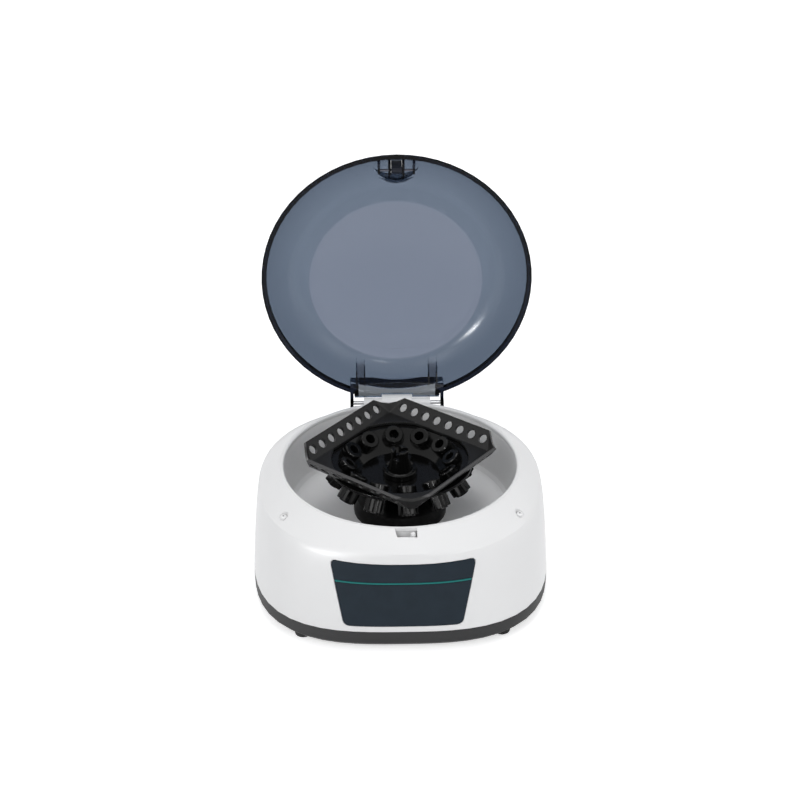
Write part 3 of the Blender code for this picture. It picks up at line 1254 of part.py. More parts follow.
def make_materials():
    """Every finish of the object."""
    return {
        "white": new_material("white_plastic", (0.86, 0.86, 0.87), 0.35),
        "bowl": new_material("bowl_plastic", (0.62, 0.63, 0.64), 0.35),
        "dark_grey": new_material("dark_grey_plastic", (0.08, 0.08, 0.09), 0.55),
        "black": new_material("black_plastic", (0.02, 0.02, 0.02), 0.4),
        "boss": new_material("boss_plastic", (0.015, 0.015, 0.015), 0.5),
        "rotor": new_material("rotor_plastic", (0.03, 0.03, 0.03), 0.3),
        "rubber": new_material("foot_rubber", (0.02, 0.02, 0.02), 0.85),
        "smoked": new_material("smoked_plastic", (0.13, 0.17, 0.25), 0.08, alpha=0.35),
        "latch": new_material("latch_plastic", (0.05, 0.06, 0.10), 0.3),
        "panel": new_material("panel_film", (0.03, 0.045, 0.06), 0.35),
        "teal": new_material("teal_print", (0.01, 0.42, 0.38), 0.4),
        "pad": new_material("pad_rubber", (0.78, 0.78, 0.78), 0.7),
        "steel": new_material("steel", (0.62, 0.62, 0.63), 0.3, metallic=1.0),
        "zinc": new_material("zinc_steel", (0.45, 0.45, 0.46), 0.45, metallic=1.0),
        "board": new_material("board_green", (0.02, 0.16, 0.08), 0.5),
    }


def hang(child, parent):
    """Hang one joint's empty on another's without moving it."""
    child.parent = parent
    child.matrix_parent_inverse = Matrix.Translation(-parent.location)


def main():
    """Build the whole centrifuge and stand its lid open."""
    for item in list(bpy.data.objects):
        bpy.data.objects.remove(item)
    materials = make_materials()
    rotor_axis = new_axis("rotor_axis", Vector((0, 0, DISH_FLOOR_Z)))
    lid_axis = new_axis("lid_axis", Vector((HINGE_X, HINGE_Y, HINGE_Z)))
    latch_axis = new_axis("latch_axis", Vector((LATCH_X, LATCH_Y, LATCH_Z)))
    nub_axis = new_axis("nub_axis", Vector((NUB_X, NUB_Y, NUB_TOP_Z)))
    rocker_axis = new_axis("rocker_axis", Vector((ROCKER_X, REAR_FACE_Y - ROCKER_THICKNESS, ROCKER_Z)))
    make_tray(materials)
    make_feet(materials)
    make_housing(materials)
    make_bowl(materials)
    make_boss(materials)
    make_motor(materials)
    make_board(materials)
    make_bracket(materials)
    make_panel(materials)
    make_pads(materials)
    make_lock(materials, nub_axis)
    make_back(materials, rocker_axis)
    make_spindle(materials, rotor_axis)
    make_dish(materials, rotor_axis)
    make_adapters(materials, rotor_axis)
    make_strip_frame(materials, rotor_axis)
    make_knob(materials, rotor_axis)
    make_lid(materials, lid_axis)
    make_latch(materials, lid_axis, latch_axis)
    hang(latch_axis, lid_axis)
    lid_axis.rotation_euler = (-LID_OPEN, 0.0, 0.0)
    rocker_axis.rotation_euler = (ROCKER_TILT, 0.0, 0.0)


main()
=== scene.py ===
from math import cos, pi, radians, sin, tau

import bmesh
import bpy
from mathutils import Matrix, Vector


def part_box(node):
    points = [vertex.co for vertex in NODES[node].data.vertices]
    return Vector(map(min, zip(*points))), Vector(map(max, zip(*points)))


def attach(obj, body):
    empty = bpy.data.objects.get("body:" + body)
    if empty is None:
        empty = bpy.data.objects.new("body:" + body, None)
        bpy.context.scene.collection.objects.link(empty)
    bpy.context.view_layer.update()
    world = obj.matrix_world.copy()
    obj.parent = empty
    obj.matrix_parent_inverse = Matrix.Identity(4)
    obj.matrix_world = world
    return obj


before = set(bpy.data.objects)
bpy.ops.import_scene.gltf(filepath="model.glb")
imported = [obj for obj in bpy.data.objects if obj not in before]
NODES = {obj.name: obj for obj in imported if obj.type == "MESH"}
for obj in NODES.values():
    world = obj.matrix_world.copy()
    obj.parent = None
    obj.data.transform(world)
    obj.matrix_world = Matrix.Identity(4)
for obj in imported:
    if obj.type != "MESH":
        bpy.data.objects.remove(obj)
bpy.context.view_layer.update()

SMOOTH_ANGLE = radians(28)       # faces that meet at less than this shade as one
WELD_DISTANCE = 0.000002

# Scales of the noise that varies a plastic's colour, gloss and surface
CLOUD_SCALE, GLOSS_SCALE, GRAIN_SCALE = 26.0, 60.0, 2200.0

# The lid as it stands open. Its rim lies across Y, and X is measured to both sides of the middle.
LID_RIM_Y = 0.0895
LID_END_Y = LID_RIM_Y + 0.0363
LID_RADIUS = 0.0868
LID_CENTRE_Z = 0.1539
LID_HINGE_Z = 0.0657
ARM_INNER_X = 0.0255
GUSSET_X = (0.0214, 0.0267)
GUSSET_END_Y = 0.1035
SHELF_TOP_Z = 0.0776             # top of the thick part between the arms
LATCH_RIB_X = 0.0110
INNER_RIB_X = 0.0044

# Zones of the lid's material, as pairs of limits
RIM_Y = (LID_RIM_Y - 0.0050, LID_RIM_Y + 0.0029)
RIM_REACH = (LID_RADIUS - 0.0036, LID_RADIUS + 0.0006)
BAND_Z = (0.0600, 0.0800)
BAND_RADIUS = 0.0800             # lower edge of the dark band between the arms
FLAP_RADIUS = BAND_RADIUS + 0.0003
SLOPE_Y = (LID_RIM_Y - 0.0050, LID_RIM_Y + 0.0070)
SLOPE_Z = (0.0722, SHELF_TOP_Z - 0.0006)
SHELF_Y = (LID_RIM_Y + 0.0029, 0.1022)
SHELF_Z = (0.0705, SHELF_TOP_Z + 0.0006)
SHELF_FACE_Z = (SHELF_TOP_Z - 0.0010, SHELF_TOP_Z + 0.0006)
ARC_CENTRE_Y = 0.1390            # the band's edge on top of the shelf is an arc round this
ARC_RADIUS = 0.0401
# the arms are painted near black as painted shade
ARM_X = (ARM_INNER_X, ARM_INNER_X + 0.0080)
ARM_Y = (0.0500, LID_RIM_Y + 0.0040)
ARM_Z = (0.0300, 0.0800)
GUSSET_HALF = 0.0006
GUSSET_Y = (LID_RIM_Y - 0.0050, GUSSET_END_Y)
GUSSET_Z = (LID_HINGE_Z, LID_HINGE_Z + 0.0200)
GUSSET_FADE = 0.0030
TIP_Y = (GUSSET_END_Y, 0.1100)
TIP_Z = (SHELF_TOP_Z, 0.0905)
WEB_Z = (0.0700, 0.0785)
WEB_FADE = 0.0015
LATCH_RIB_HALF = 0.0009
INNER_RIB_HALF = 0.0008
RIB_Y = (LID_RIM_Y, LID_RIM_Y + 0.0150)
RIB_Z = (0.2180, 0.2350)
BROW_X = 0.0200                  # half width of the dark part above the latch
BROW_Z = (0.2330, 0.2410)
DISC_CENTRE_Z = 0.1375           # the flat end of the lid, pale and sharp-edged
DISC_RADIUS = 0.0575
DISC_Y = (LID_END_Y - 0.0060, LID_END_Y + 0.0010)
DISC_FADE = 0.0002
CLEAR_RADIUS = 0.0600            # from here to the rim the dome darkens

# The lid's tints and its painted shade
CLEAR_SMOKE = (0.118, 0.146, 0.192)
DIM_SMOKE = (0.085, 0.108, 0.146)
TOP_SMOKE = (0.150, 0.172, 0.222)
# near black: the rim's tint, and painted shade on the arms
RIM_SMOKE_AND_SHADE = (0.0004, 0.0006, 0.0016)
FLAP_SMOKE = (0.24, 0.26, 0.28)
PALE_SMOKE = (0.90, 0.92, 0.95)
WEB_SMOKE = (0.045, 0.056, 0.078)

# The strip frame's plastic and its painted highlight
FRAME_BLACK = (0.011, 0.011, 0.011)
FRAME_LOW = (0.0097, 0.0097, 0.0097)
FRAME_HIGH = (0.0123, 0.0123, 0.0123)
# painted highlight: a paler grey on the narrow top face of the frame's leaning walls
FRAME_PAINTED_HIGHLIGHT = (0.060, 0.060, 0.061)
HIGHLIGHT_OUTWARD = (0.010, 0.020)   # the painted highlight is on the face that leans away from the axis
HIGHLIGHT_UPWARD = (0.3, 0.5)        # and looks up
HIGHLIGHT_TOP_Z = (0.0842, 0.0845)

# Small pieces
ROCKER_AXIS = (0.0986, 0.026)    # Y and Z of the rocker's axis
ROCKER_TILT = radians(5)
MARK_OFFSET = 0.0042             # from the axis, along the face and out of it
MARK_LEAN = radians(11.3)
MARK_HEIGHT = 0.00012
RING_RADII = (0.0016, 0.0011)
RING_SIDES = 32
BAR_HALF = (0.00025, 0.0015)
BLADE_PITCH = 0.007
BLADE_STAGGER = 0.002            # the middle blade stands higher and the outer ones lower
BLADE_HALF = (0.00105, 0.00205)
BLADE_INSET = (0.0109, 0.0026)   # both ends, from the inlet's outer face
BLADE_ROUNDING = 0.00035
PAD_PIN = [(0.00055, -0.0012), (0.00055, -0.0002), (0.0003, -0.0001)]
PAD_PIN_SIDES = 16
CHEEK_X = (0.00348, 0.00380)
CHEEK_Y = (0.0976, 0.1042)
CHEEK_Z = (0.2232, 0.2326)
# a smoked sheet behind the knuckle, painted shade for the gap there
GAP_SHEET_LOW = (-0.0283, 0.0941, 0.0664)
GAP_SHEET_HIGH = (0.0283, 0.0949, 0.0717)
SCREW_PLACES = [(-0.045, -0.060), (0.045, -0.060), (-0.045, 0.070), (0.045, 0.070)]
SCREW_HEAD = [(0.0032, -0.0001), (0.0032, 0.0006), (0.0026, 0.0012), (0.0012, 0.0015)]
SCREW_SIDES = 28
CROSS_LONG, CROSS_SHORT = 0.0015, 0.00028
CROSS_Z = (0.00142, 0.00156)
CROSS_STEP = 0.00001             # keeps the two bars' faces apart

# Stage
SKY_COLOUR, SKY_STRENGTH = (0.97, 0.98, 1.0), 0.5
FEET_Z = -0.0042
FLOOR_Z = FEET_Z - 0.00005
FLOOR_HALF = 1.4
FLOOR_GLOW = 0.56
BODY_CENTRE = (0.0, 0.0, 0.07)
CAMERA_YAW, CAMERA_PITCH = radians(1.3), radians(29.5)
CAMERA_AWAY, CAMERA_HEIGHT = 0.8704, 0.6099
SENSOR_WIDTH = 36.0
FOCAL_PIXELS, PICTURE_PIXELS = 1651.0, 800.0


# Shader helpers

class Shader:
    """A Principled material whose nodes are added one by one."""

    def __init__(self, name, colour, roughness, metallic=0.0, specular=0.5, ior=1.5):
        self.material = bpy.data.materials.new(name)
        self.material.use_nodes = True
        self.tree = self.material.node_tree
        self.shader = self.tree.nodes["Principled BSDF"]
        self.set("Base Color", (*colour, 1.0))
        self.set("Roughness", roughness)
        self.set("Metallic", metallic)
        self.set("IOR", ior)
        self.set("Specular IOR Level", specular)
        self.colour = colour

    def set(self, socket, value):
        self.shader.inputs[socket].default_value = value

    def drive(self, socket, output):
        """Link an output to one of the Principled shader's sockets."""
        self.link(output, self.shader.inputs[socket])

    def add(self, kind, **values):
        """A node, with values for its inputs or its own properties."""
        node = self.tree.nodes.new(kind)
        for key, value in values.items():
            if key in node.inputs:
                node.inputs[key].default_value = value
            else:
                setattr(node, key, value)
        return node

    def link(self, start, end):
        self.tree.links.new(start, end)

    def place(self):
        return self.add("ShaderNodeTexCoord").outputs["Object"]

    def parts(self, vector):
        """The X, Y and Z of a vector."""
        node = self.add("ShaderNodeSeparateXYZ")
        self.link(vector, node.inputs["Vector"])
        return node.outputs

    def noise(self, scale, detail=2.0, stretch=None):
        source = self.place()
        if stretch:
            mapping = self.add("ShaderNodeMapping", Scale=stretch)
            self.link(source, mapping.inputs["Vector"])
            source = mapping.outputs["Vector"]
        node = self.add("ShaderNodeTexNoise", Scale=scale, Detail=detail)
        self.link(source, node.inputs["Vector"])
        return node.outputs["Fac"]

    def ramp(self, factor, stops):
        node = self.add("ShaderNodeValToRGB")
        elements = node.color_ramp.elements
        while len(elements) < len(stops):
            elements.new(0.5)
        for element, (place, colour) in zip(elements, stops):
            element.position = place
            element.color = (*colour, 1.0)
        self.link(factor, node.inputs["Fac"])
        return node.outputs["Color"]

    def clouds(self, factor, low, high):
        """Two colours, mixed by a noise."""
        return self.ramp(factor, [(0.3, low), (0.7, high)])

    def map_range(self, value, limits):
        node = self.add("ShaderNodeMapRange", **limits)
        self.link(value, node.inputs["Value"])
        return node.outputs["Result"]

    def span(self, share, low, high):
        """The value that lies at a share of the way between two others."""
        return self.map_range(share, {"To Min": low, "To Max": high})

    def measure(self, value, start, end):
        """A value's share of the way from one length to another."""
        return self.map_range(value, {"From Min": start, "From Max": end})

    def maths(self, kind, first, second=None):
        """One arithmetic step on one or two values."""
        node = self.add("ShaderNodeMath", operation=kind)
        self.link(first, node.inputs[0])
        if second is not None:
            self.link(second, node.inputs[1])
        return node.outputs[0]

    def vector_maths(self, kind, first, second=None):
        """One step on a linked vector and, where given, a linked or constant one."""
        node = self.add("ShaderNodeVectorMath", operation=kind)
        self.link(first, node.inputs[0])
        if isinstance(second, tuple):
            node.inputs[1].default_value = second
        elif second is not None:
            self.link(second, node.inputs[1])
        return node.outputs["Value" if kind in ("LENGTH", "DOT_PRODUCT") else "Vector"]

    def all_of(self, first, *others):
        """The product of shares."""
        for other in others:
            first = self.maths("MULTIPLY", first, other)
        return first

    def any_of(self, first, *others):
        """The largest of shares."""
        for other in others:
            first = self.maths("MAXIMUM", first, other)
        return first

    def above(self, value, low, soft=0.0003):
        """One past a length, zero short of it, with a soft step between."""
        return self.measure(value, low - soft, low + soft)

    def below(self, value, high, soft=0.0003):
        """One short of a length, zero past it, with a soft step between."""
        return self.measure(value, high + soft, high - soft)

    def within(self, value, low, high, soft=0.0003):
        """One between two lengths, zero outside, with a soft step at each."""
        return self.all_of(self.above(value, low, soft), self.below(value, high, soft))

    def radius(self, centre_z=0.0, centre_y=0.0, plane=(1.0, 0.0, 1.0)):
        """Distance from an axis, along Y unless another plane is given."""
        centred = self.vector_maths("SUBTRACT", self.place(), (0.0, centre_y, centre_z))
        return self.vector_maths("LENGTH", self.vector_maths("MULTIPLY", centred, plane))

    def blend(self, share, first, colour):
        """Move from a linked colour to a plain one by a share."""
        node = self.add("ShaderNodeMix", data_type="RGBA")
        self.link(share, node.inputs[0])
        self.link(first, node.inputs[6])
        node.inputs[7].default_value = (*colour, 1.0)
        return node.outputs[2]

    def vary_colour(self, factor, amount):
        low = tuple(c * (1 - amount) for c in self.colour)
        high = tuple(min(1.0, c * (1 + amount)) for c in self.colour)
        self.drive("Base Color", self.clouds(factor, low, high))

    def vary_roughness(self, factor, low, high):
        self.drive("Roughness", self.span(factor, low, high))

    def relief(self, height, distance, edge=0.0):
        """Fine relief from a height, over edges rounded by a radius."""
        bump = self.add("ShaderNodeBump", Distance=distance)
        self.link(height, bump.inputs["Height"])
        if edge:
            bevel = self.add("ShaderNodeBevel", samples=4, Radius=edge)
            self.link(bevel.outputs["Normal"], bump.inputs["Normal"])
        self.drive("Normal", bump.outputs["Normal"])


# Materials

def moulded(name, colour, roughness, grain=GRAIN_SCALE, depth=0.00001, shade=0.03, edge=0.0004,
            specular=0.5):
    """Injection-moulded plastic: fine grain, faint clouds of colour, gloss that varies a little."""
    s = Shader(name, colour, roughness, specular=specular)
    s.vary_colour(s.noise(CLOUD_SCALE, 3.0), shade)
    s.vary_roughness(s.noise(GLOSS_SCALE, 4.0), roughness * 0.85, roughness * 1.15)
    s.relief(s.noise(grain), depth, edge=edge)
    return s.material


def frame_plastic():
    """The strip frame's plastic, with a painted highlight on its leaning walls' narrow top face."""
    s = Shader("Frame plastic", FRAME_BLACK, 0.34, specular=0.24)
    s.vary_roughness(s.noise(GLOSS_SCALE, 4.0), 0.29, 0.39)
    s.relief(s.noise(GRAIN_SCALE), 0.000006, edge=0.0008)
    coordinates = s.add("ShaderNodeTexCoord")
    place, normal = coordinates.outputs["Object"], coordinates.outputs["Normal"]
    outward = s.vector_maths("DOT_PRODUCT", s.vector_maths("MULTIPLY", place, (1.0, 1.0, 0.0)),
                             normal)
    # painted highlight where a face near the top of the walls looks up and away from the axis
    top = s.all_of(s.measure(outward, *HIGHLIGHT_OUTWARD),
                   s.measure(s.parts(normal)["Z"], *HIGHLIGHT_UPWARD),
                   s.measure(s.parts(place)["Z"], *HIGHLIGHT_TOP_Z))
    black = s.clouds(s.noise(CLOUD_SCALE, 3.0), FRAME_LOW, FRAME_HIGH)
    s.drive("Base Color", s.blend(top, black, FRAME_PAINTED_HIGHLIGHT))
    return s.material


def metal(name, colour, roughness, stretch):
    """Turned or drawn steel: fine lines along one direction."""
    s = Shader(name, colour, roughness, metallic=1.0)
    lines = s.noise(900.0, 3.0, stretch=stretch)
    s.vary_colour(lines, 0.06)
    s.vary_roughness(lines, roughness * 0.75, roughness * 1.3)
    s.relief(lines, 0.000006, edge=0.0002)
    return s.material


def rubber(name, colour, shade=0.25):
    """Matt rubber with dust in its pores."""
    s = Shader(name, colour, 0.8, specular=0.3)
    s.vary_colour(s.noise(300.0, 4.0), shade)
    s.relief(s.noise(1500.0, 3.0), 0.00003, edge=0.0003)
    return s.material


def smoked_plastic():
    """See-through smoked plastic: near black on the rim, the hinge band and the ribs, with painted
    shade near black on the arms, a shade lighter on the flat end, pale on the shelf and milky
    on the flaps below the band."""
    s = Shader("Smoked lid", CLEAR_SMOKE, 0.03, ior=1.05)
    place = s.parts(s.place())
    side, depth, height = s.maths("ABSOLUTE", place["X"]), place["Y"], place["Z"]
    reach = s.radius(LID_CENTRE_Z)
    front = s.within(depth, *RIM_Y)
    middle = s.below(side, ARM_INNER_X)

    edge = s.any_of(
        s.all_of(middle, s.within(height, *BAND_Z), front),
        s.all_of(middle, s.within(height, *SLOPE_Z), s.within(depth, *SLOPE_Y)))
    shelf = s.all_of(middle, s.within(height, *SHELF_Z), s.within(depth, *SHELF_Y))
    shelf_face = s.all_of(shelf, s.within(height, *SHELF_FACE_Z))
    shelf_reach = s.radius(centre_y=ARC_CENTRE_Y, plane=(1.0, 1.0, 0.0))
    arc = s.any_of(s.all_of(edge, s.below(reach, BAND_RADIUS)),
                   s.all_of(shelf_face, s.above(shelf_reach, ARC_RADIUS)))
    flaps = s.all_of(edge, s.above(reach, FLAP_RADIUS))

    rim = s.all_of(front, s.within(reach, *RIM_REACH),
                   s.any_of(s.above(side, ARM_INNER_X), s.above(height, LID_CENTRE_Z)))
    # painted shade on the arms
    arms = s.all_of(s.within(side, *ARM_X), s.within(height, *ARM_Z), s.within(depth, *ARM_Y))
    plates = s.any_of(*(s.within(side, x - GUSSET_HALF, x + GUSSET_HALF) for x in GUSSET_X))
    gussets = s.all_of(plates, s.within(height, *GUSSET_Z, soft=GUSSET_FADE),
                       s.within(depth, *GUSSET_Y))
    tips = s.all_of(plates, s.within(height, *TIP_Z), s.within(depth, *TIP_Y))
    webs = s.all_of(s.within(side, *GUSSET_X), s.within(height, *WEB_Z, soft=WEB_FADE))
    ribs = s.any_of(
        s.within(side, LATCH_RIB_X - LATCH_RIB_HALF, LATCH_RIB_X + LATCH_RIB_HALF),
        s.within(side, INNER_RIB_X - INNER_RIB_HALF, INNER_RIB_X + INNER_RIB_HALF))
    ribs = s.all_of(ribs, s.within(height, *RIB_Z), s.within(depth, *RIB_Y))
    brow = s.all_of(s.below(side, BROW_X), s.within(height, *BROW_Z), front)
    disc = s.all_of(s.below(s.radius(DISC_CENTRE_Z), DISC_RADIUS, soft=DISC_FADE),
                    s.within(depth, *DISC_Y))

    tint = s.ramp(s.measure(reach, CLEAR_RADIUS, LID_RADIUS),
                  [(0.0, CLEAR_SMOKE), (0.85, DIM_SMOKE)])
    # near-black tint of the rim, band and ribs, with painted shade on the arms
    dark = s.any_of(rim, arc, arms, gussets, ribs, brow)
    for share, smoke in ((disc, TOP_SMOKE), (webs, WEB_SMOKE), (s.any_of(shelf, tips), PALE_SMOKE),
                         (dark, RIM_SMOKE_AND_SHADE), (flaps, FLAP_SMOKE)):
        tint = s.blend(share, tint, smoke)
    s.drive("Base Color", tint)
    s.drive("Transmission Weight", s.span(flaps, 1.0, 0.2))
    s.vary_roughness(s.noise(40.0, 3.0), 0.02, 0.05)
    s.set("Coat Weight", 0.22)
    s.set("Coat Roughness", 0.2)
    return s.material


def printed_film():
    """The panel's dark film with a satin finish."""
    s = Shader("Panel film", (0.014, 0.023, 0.033), 0.34, specular=0.12)
    s.vary_colour(s.noise(90.0, 3.0), 0.08)
    s.relief(s.noise(3500.0), 0.000008, edge=0.0005)
    return s.material


def board_material():
    """Solder mask with faint copper tracks under it."""
    s = Shader("Circuit board", (0.02, 0.14, 0.06), 0.35)
    wave = s.add("ShaderNodeTexWave", Scale=260.0, Distortion=6.0)
    s.link(s.place(), wave.inputs["Vector"])
    s.drive("Base Color", s.ramp(wave.outputs["Fac"],
                                 [(0.45, (0.015, 0.11, 0.05)), (0.55, (0.03, 0.2, 0.09))]))
    return s.material


MATERIALS = {
    "white": moulded("White housing", (0.85, 0.85, 0.85), 0.42, shade=0.01, specular=0.3),
    # the bowl's white is painted lighter than the housing's: painted light against the shade in the
    # bowl
    "bowl": moulded("Bowl white with painted light", (0.93, 0.93, 0.93), 0.38, shade=0.015, specular=0.3),
    "tray": moulded("Dark tray", (0.030, 0.030, 0.031), 0.55, grain=1500.0, depth=0.00003,
                    shade=0.06, specular=0.25),
    "boss": moulded("Black boss", (0.003, 0.003, 0.003), 0.36, shade=0.1, specular=0.13),
    "black": moulded("Black inserts", (0.016, 0.016, 0.017), 0.4, shade=0.1),
    "rotor": moulded("Rotor plastic", (0.003, 0.003, 0.003), 0.13, depth=0.000004, shade=0.15,
                     edge=0.0005, specular=0.2),
    "frame": frame_plastic(),
    "latch": moulded("Latch plastic", (0.008, 0.010, 0.018), 0.3, shade=0.1, specular=0.2),
    "pad": rubber("Pad rubber", (0.86, 0.86, 0.86), 0.04),
    "rubber": rubber("Foot rubber", (0.016, 0.016, 0.016)),
    "steel": metal("Turned steel", (0.60, 0.60, 0.61), 0.28, (1.0, 1.0, 12.0)),
    "hole_shade": metal("Dark steel", (0.10, 0.10, 0.12), 0.35, (12.0, 1.0, 1.0)),
    "zinc": metal("Zinc plate", (0.48, 0.48, 0.47), 0.42, (1.0, 1.0, 0.1)),
    "brass": metal("Nickel blades", (0.66, 0.63, 0.56), 0.3, (1.0, 12.0, 1.0)),
    "smoked": smoked_plastic(),
    "panel": printed_film(),
    "teal": moulded("Teal print", (0.009, 0.165, 0.155), 0.35, shade=0.05, edge=0.0, specular=0.2),
    "board": board_material(),
    "print": moulded("White print", (0.75, 0.75, 0.75), 0.5, shade=0.02, edge=0.0),
    # near black, painted shade for the pads' pin holes and the screws' cross recesses
    "recess_shade": moulded("Dark pocket", (0.02, 0.02, 0.02), 0.6, shade=0.1),
}

FINISH = {
    "white": ("housing_shell", "hinge_bracket", "lock_nub", "lock_switch"),
    "bowl": ("bowl",),
    "tray": ("base_tray",),
    "boss": ("motor_boss",),
    "black": ("power_inlet", "rocker_bezel", "rocker"),
    "rotor": ("tube_rotor", "rotor_knob", "adapter"),
    "frame": ("strip_frame",),
    "panel": ("front_panel",),
    "teal": ("panel_stripe",),
    "pad": ("rest_pad",),
    "smoked": ("lid",),
    "latch": ("latch_lever",),
    "hole_shade": ("latch_pin",),
    "steel": ("hinge_pin", "spindle", "foot_screw"),
    "zinc": ("motor_plate", "motor"),
    "board": ("control_board",),
    "rubber": ("foot", "damper"),
}


def finish_of(node):
    """The finish of a CAD node, by its name without a side or a number."""
    family = node.rstrip("_0123456789").removesuffix("_left").removesuffix("_right")
    return next(finish for finish, families in FINISH.items() if family in families)


def dress_nodes():
    """Give each CAD node its procedural finish and smooth curved faces."""
    for name, node in NODES.items():
        node.data.materials.clear()
        node.data.materials.append(MATERIALS[finish_of(name)])
        weld = node.modifiers.new("join", "WELD")
        weld.merge_threshold = WELD_DISTANCE
        split = node.modifiers.new("edges", "EDGE_SPLIT")
        split.split_angle = SMOOTH_ANGLE
        split.use_edge_sharp = False
        smooth = node.modifiers.new("smooth", "WEIGHTED_NORMAL")
        smooth.mode = "FACE_AREA_WITH_ANGLE"


# Pieces that the solids leave to this script

def new_piece(name, shape, finish, body, smooth=True):
    """Link a bmesh as a piece that rides on a body."""
    bmesh.ops.recalc_face_normals(shape, faces=shape.faces)
    mesh = bpy.data.meshes.new(name)
    shape.to_mesh(mesh)
    shape.free()
    mesh.materials.append(MATERIALS[finish])
    if smooth:
        mesh.shade_smooth()
        mesh.set_sharp_from_angle(angle=radians(40))
    item = bpy.data.objects.new(name, mesh)
    bpy.context.scene.collection.objects.link(item)
    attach(item, body)


def lathe(shape, profile, sides, place, ring=False):
    """Turn (radius, height) pairs round Z and put the result in place, closed at its ends or,
    for a ring, joined from the last pair to the first."""
    loops = [[shape.verts.new(place @ Vector((radius * cos(tau * i / sides),
                                              radius * sin(tau * i / sides), height)))
              for i in range(sides)] for radius, height in profile]
    following = loops[1:] + loops[:1] if ring else loops[1:]
    for low, high in zip(loops, following):
        for i in range(sides):
            j = (i + 1) % sides
            shape.faces.new((low[i], low[j], high[j], high[i]))
    if not ring:
        shape.faces.new(loops[0])
        shape.faces.new(loops[-1])


def block(shape, low, high, place=Matrix.Identity(4)):
    """A box between two corners."""
    low, high = Vector(low), Vector(high)
    size = high - low
    matrix = place @ Matrix.Translation((low + high) / 2) @ Matrix.Diagonal((*size, 1))
    bmesh.ops.create_cube(shape, size=1.0, matrix=matrix)


def rocker_marks():
    """The bar and the ring on the two halves of the power switch."""
    low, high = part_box("rocker")
    pivot = Matrix.Translation(((low.x + high.x) / 2, *ROCKER_AXIS))
    tilt = pivot @ Matrix.Rotation(ROCKER_TILT, 4, "X")
    for name, side in (("mark_off", 1), ("mark_on", -1)):
        shape = bmesh.new()
        lean = (Matrix.Translation((0, MARK_OFFSET, side * MARK_OFFSET))
                @ Matrix.Rotation(side * MARK_LEAN, 4, "X"))
        face = tilt @ lean @ Matrix.Rotation(-pi / 2, 4, "X")
        if side > 0:
            outer, inner = RING_RADII
            ring = [(outer, 0.0), (outer, MARK_HEIGHT), (inner, MARK_HEIGHT), (inner, 0.0)]
            lathe(shape, ring, RING_SIDES, face, ring=True)
        else:
            x, y = BAR_HALF
            block(shape, (-x, -y, 0.0), (x, y, MARK_HEIGHT), face)
        new_piece(name, shape, "print", "rocker", smooth=False)


def inlet_blades():
    """Plated blades over the solid ones in the inlet."""
    low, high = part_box("power_inlet")
    centre_x, centre_z = (low.x + high.x) / 2, (low.z + high.z) / 2
    half_x, half_z = BLADE_HALF
    back, tip = BLADE_INSET
    for step in (-1, 0, 1):
        shape = bmesh.new()
        x = centre_x + step * BLADE_PITCH
        z = centre_z + (BLADE_STAGGER if step == 0 else -BLADE_STAGGER)
        block(shape, (x - half_x, high.y - back, z - half_z),
              (x + half_x, high.y - tip, z + half_z))
        bmesh.ops.bevel(shape, geom=list(shape.edges), offset=BLADE_ROUNDING, segments=2,
                        affect="EDGES")
        new_piece(f"inlet_blade_{step + 2}", shape, "brass", "base")


def pad_hole_shades():
    """A dark pin in each rest pad: painted shade for the pad's pin hole."""
    for side in ("left", "right"):
        low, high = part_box(f"rest_pad_{side}")
        centre = (low + high) / 2
        shape = bmesh.new()
        profile = [(radius, high.z + z) for radius, z in PAD_PIN]
        lathe(shape, profile, PAD_PIN_SIDES, Matrix.Translation((centre.x, centre.y, 0)))
        new_piece(f"pad_{side}_pin", shape, "recess_shade", "base")


def latch_cheeks():
    """Thin facings on the inner ribs, beside the latch."""
    for name, side in (("latch_cheek_left", -1), ("latch_cheek_right", 1)):
        shape = bmesh.new()
        low_x, high_x = sorted(side * x for x in CHEEK_X)
        block(shape, (low_x, CHEEK_Y[0], CHEEK_Z[0]), (high_x, CHEEK_Y[1], CHEEK_Z[1]))
        new_piece(name, shape, "latch", "lid", smooth=False)


def gap_shade_sheet():
    """A thin smoked sheet that closes the lid's hinge edge, behind the knuckle:
    painted shade for the gap there.
    """
    shape = bmesh.new()
    block(shape, GAP_SHEET_LOW, GAP_SHEET_HIGH)
    new_piece("gap_shade_sheet", shape, "smoked", "lid", smooth=False)


def tray_screws():
    """Cross-head screws that close the housing, seen from below."""
    low, high = CROSS_Z
    for number, (x, y) in enumerate(SCREW_PLACES, start=1):
        shape = bmesh.new()
        place = Matrix.Translation((x, y, 0)) @ Matrix.Rotation(pi, 4, "X")
        lathe(shape, SCREW_HEAD, SCREW_SIDES, place)
        new_piece(f"housing_screw_{number}", shape, "steel", "base")
        # the dark cross is a plate of painted shade for the cross recess
        cross = bmesh.new()
        for half_x, half_y, lift in ((CROSS_LONG, CROSS_SHORT, 0.0),
                                     (CROSS_SHORT, CROSS_LONG, CROSS_STEP)):
            block(cross, (-half_x, -half_y, low + lift), (half_x, half_y, high + lift), place)
        new_piece(f"housing_screw_cross_{number}", cross, "recess_shade", "base", smooth=False)


# Stage

def seen(tree):
    """One for what the camera sees straight, mirrored or through something clear, else zero."""
    path = tree.nodes.new("ShaderNodeLightPath")
    found = path.outputs["Is Camera Ray"]
    for kind in ("Is Glossy Ray", "Is Transmission Ray"):
        either = tree.nodes.new("ShaderNodeMath")
        either.operation = "MAXIMUM"
        tree.links.new(found, either.inputs[0])
        tree.links.new(path.outputs[kind], either.inputs[1])
        found = either.outputs[0]
    return found


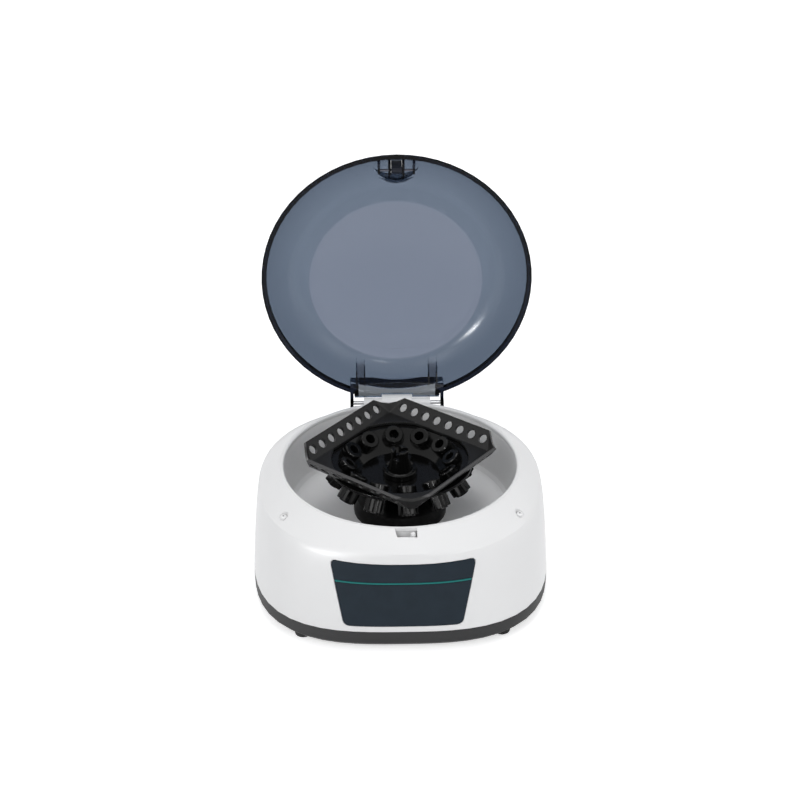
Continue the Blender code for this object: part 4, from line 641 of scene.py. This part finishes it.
def show_by_ray(tree, unseen, visible, output):
    """Send one shader to the rays that the camera sees by, and another to the rest."""
    mix = tree.nodes.new("ShaderNodeMixShader")
    tree.links.new(seen(tree), mix.inputs["Fac"])
    tree.links.new(unseen.outputs[0], mix.inputs[1])
    tree.links.new(visible.outputs[0], mix.inputs[2])
    tree.links.new(mix.outputs[0], tree.nodes[output].inputs["Surface"])


def make_world():
    """Soft even light, and white where the camera looks."""
    world = bpy.data.worlds.new("Studio")
    bpy.context.scene.world = world
    world.use_nodes = True
    tree = world.node_tree
    background = tree.nodes["Background"]
    background.inputs["Color"].default_value = (*SKY_COLOUR, 1.0)
    background.inputs["Strength"].default_value = SKY_STRENGTH
    white = tree.nodes.new("ShaderNodeBackground")
    white.inputs["Color"].default_value = (1, 1, 1, 1)
    white.inputs["Strength"].default_value = 1.0
    show_by_ray(tree, background, white, "World Output")


def floor_material():
    """Matt and pale, with a glow that only the camera's rays meet."""
    material = bpy.data.materials.new("Floor")
    material.use_nodes = True
    tree = material.node_tree
    shader = tree.nodes["Principled BSDF"]
    shader.inputs["Base Color"].default_value = (0.9, 0.9, 0.9, 1.0)
    shader.inputs["Roughness"].default_value = 0.9
    shader.inputs["Specular IOR Level"].default_value = 0.0
    glow = tree.nodes.new("ShaderNodeEmission")
    glow.inputs["Color"].default_value = (1, 1, 1, 1)
    glow.inputs["Strength"].default_value = FLOOR_GLOW
    total = tree.nodes.new("ShaderNodeAddShader")
    tree.links.new(shader.outputs[0], total.inputs[0])
    tree.links.new(glow.outputs[0], total.inputs[1])
    show_by_ray(tree, shader, total, "Material Output")
    return material


def make_floor():
    """A pale floor that keeps the object's shadow."""
    shape = bmesh.new()
    bmesh.ops.create_grid(shape, x_segments=1, y_segments=1, size=FLOOR_HALF,
                          matrix=Matrix.Translation((0, 0, FLOOR_Z)))
    mesh = bpy.data.meshes.new("floor")
    shape.to_mesh(mesh)
    shape.free()
    mesh.materials.append(floor_material())
    floor = bpy.data.objects.new("floor", mesh)
    bpy.context.scene.collection.objects.link(floor)


def soft_light(name, place, target, size, power, highlight=False):
    """A rectangular lamp aimed at a point; a highlight lamp shows in gloss alone."""
    data = bpy.data.lights.new(name, "AREA")
    data.shape = "RECTANGLE"
    data.size, data.size_y = size
    data.energy = power
    item = bpy.data.objects.new(name, data)
    item.location = place
    item.rotation_euler = (Vector(target) - Vector(place)).to_track_quat("-Z", "Y").to_euler()
    item.visible_diffuse = not highlight
    bpy.context.scene.collection.objects.link(item)


def make_lights():
    """Two soft boxes in front and one above, and two small lamps for the highlights."""
    broad = (0.9, 0.9)
    soft_light("key", (-0.9, -1.2, 1.3), BODY_CENTRE, broad, 7.8)
    soft_light("fill", (1.1, -1.1, 0.8), BODY_CENTRE, broad, 5.4)
    soft_light("spark", (-0.46, -0.43, 0.185), (0.05, 0.12, 0.105), (0.18, 0.08), 6.0,
               highlight=True)
    soft_light("glint", (0.20, -1.0, 0.72), (0.0, -0.03, 0.07), (0.05, 0.25), 1.6, highlight=True)
    soft_light("top", (0.0, 0.3, 1.6), BODY_CENTRE, broad, 7.0)


def make_camera():
    """The photograph's camera: nearly straight on, looking down."""
    data = bpy.data.cameras.new("camera")
    data.sensor_width = SENSOR_WIDTH
    data.lens = SENSOR_WIDTH * FOCAL_PIXELS / PICTURE_PIXELS
    data.clip_start = 0.01
    camera = bpy.data.objects.new("camera", data)
    camera.location = (-CAMERA_AWAY * sin(CAMERA_YAW), -CAMERA_AWAY * cos(CAMERA_YAW),
                       CAMERA_HEIGHT)
    camera.rotation_euler = (pi / 2 - CAMERA_PITCH, 0.0, -CAMERA_YAW)
    bpy.context.scene.collection.objects.link(camera)
    bpy.context.scene.camera = camera


dress_nodes()
rocker_marks()
inlet_blades()
pad_hole_shades()
latch_cheeks()
gap_shade_sheet()
tray_screws()
make_world()
make_floor()
make_lights()
make_camera()
bpy.context.scene.view_settings.view_transform = "Standard"
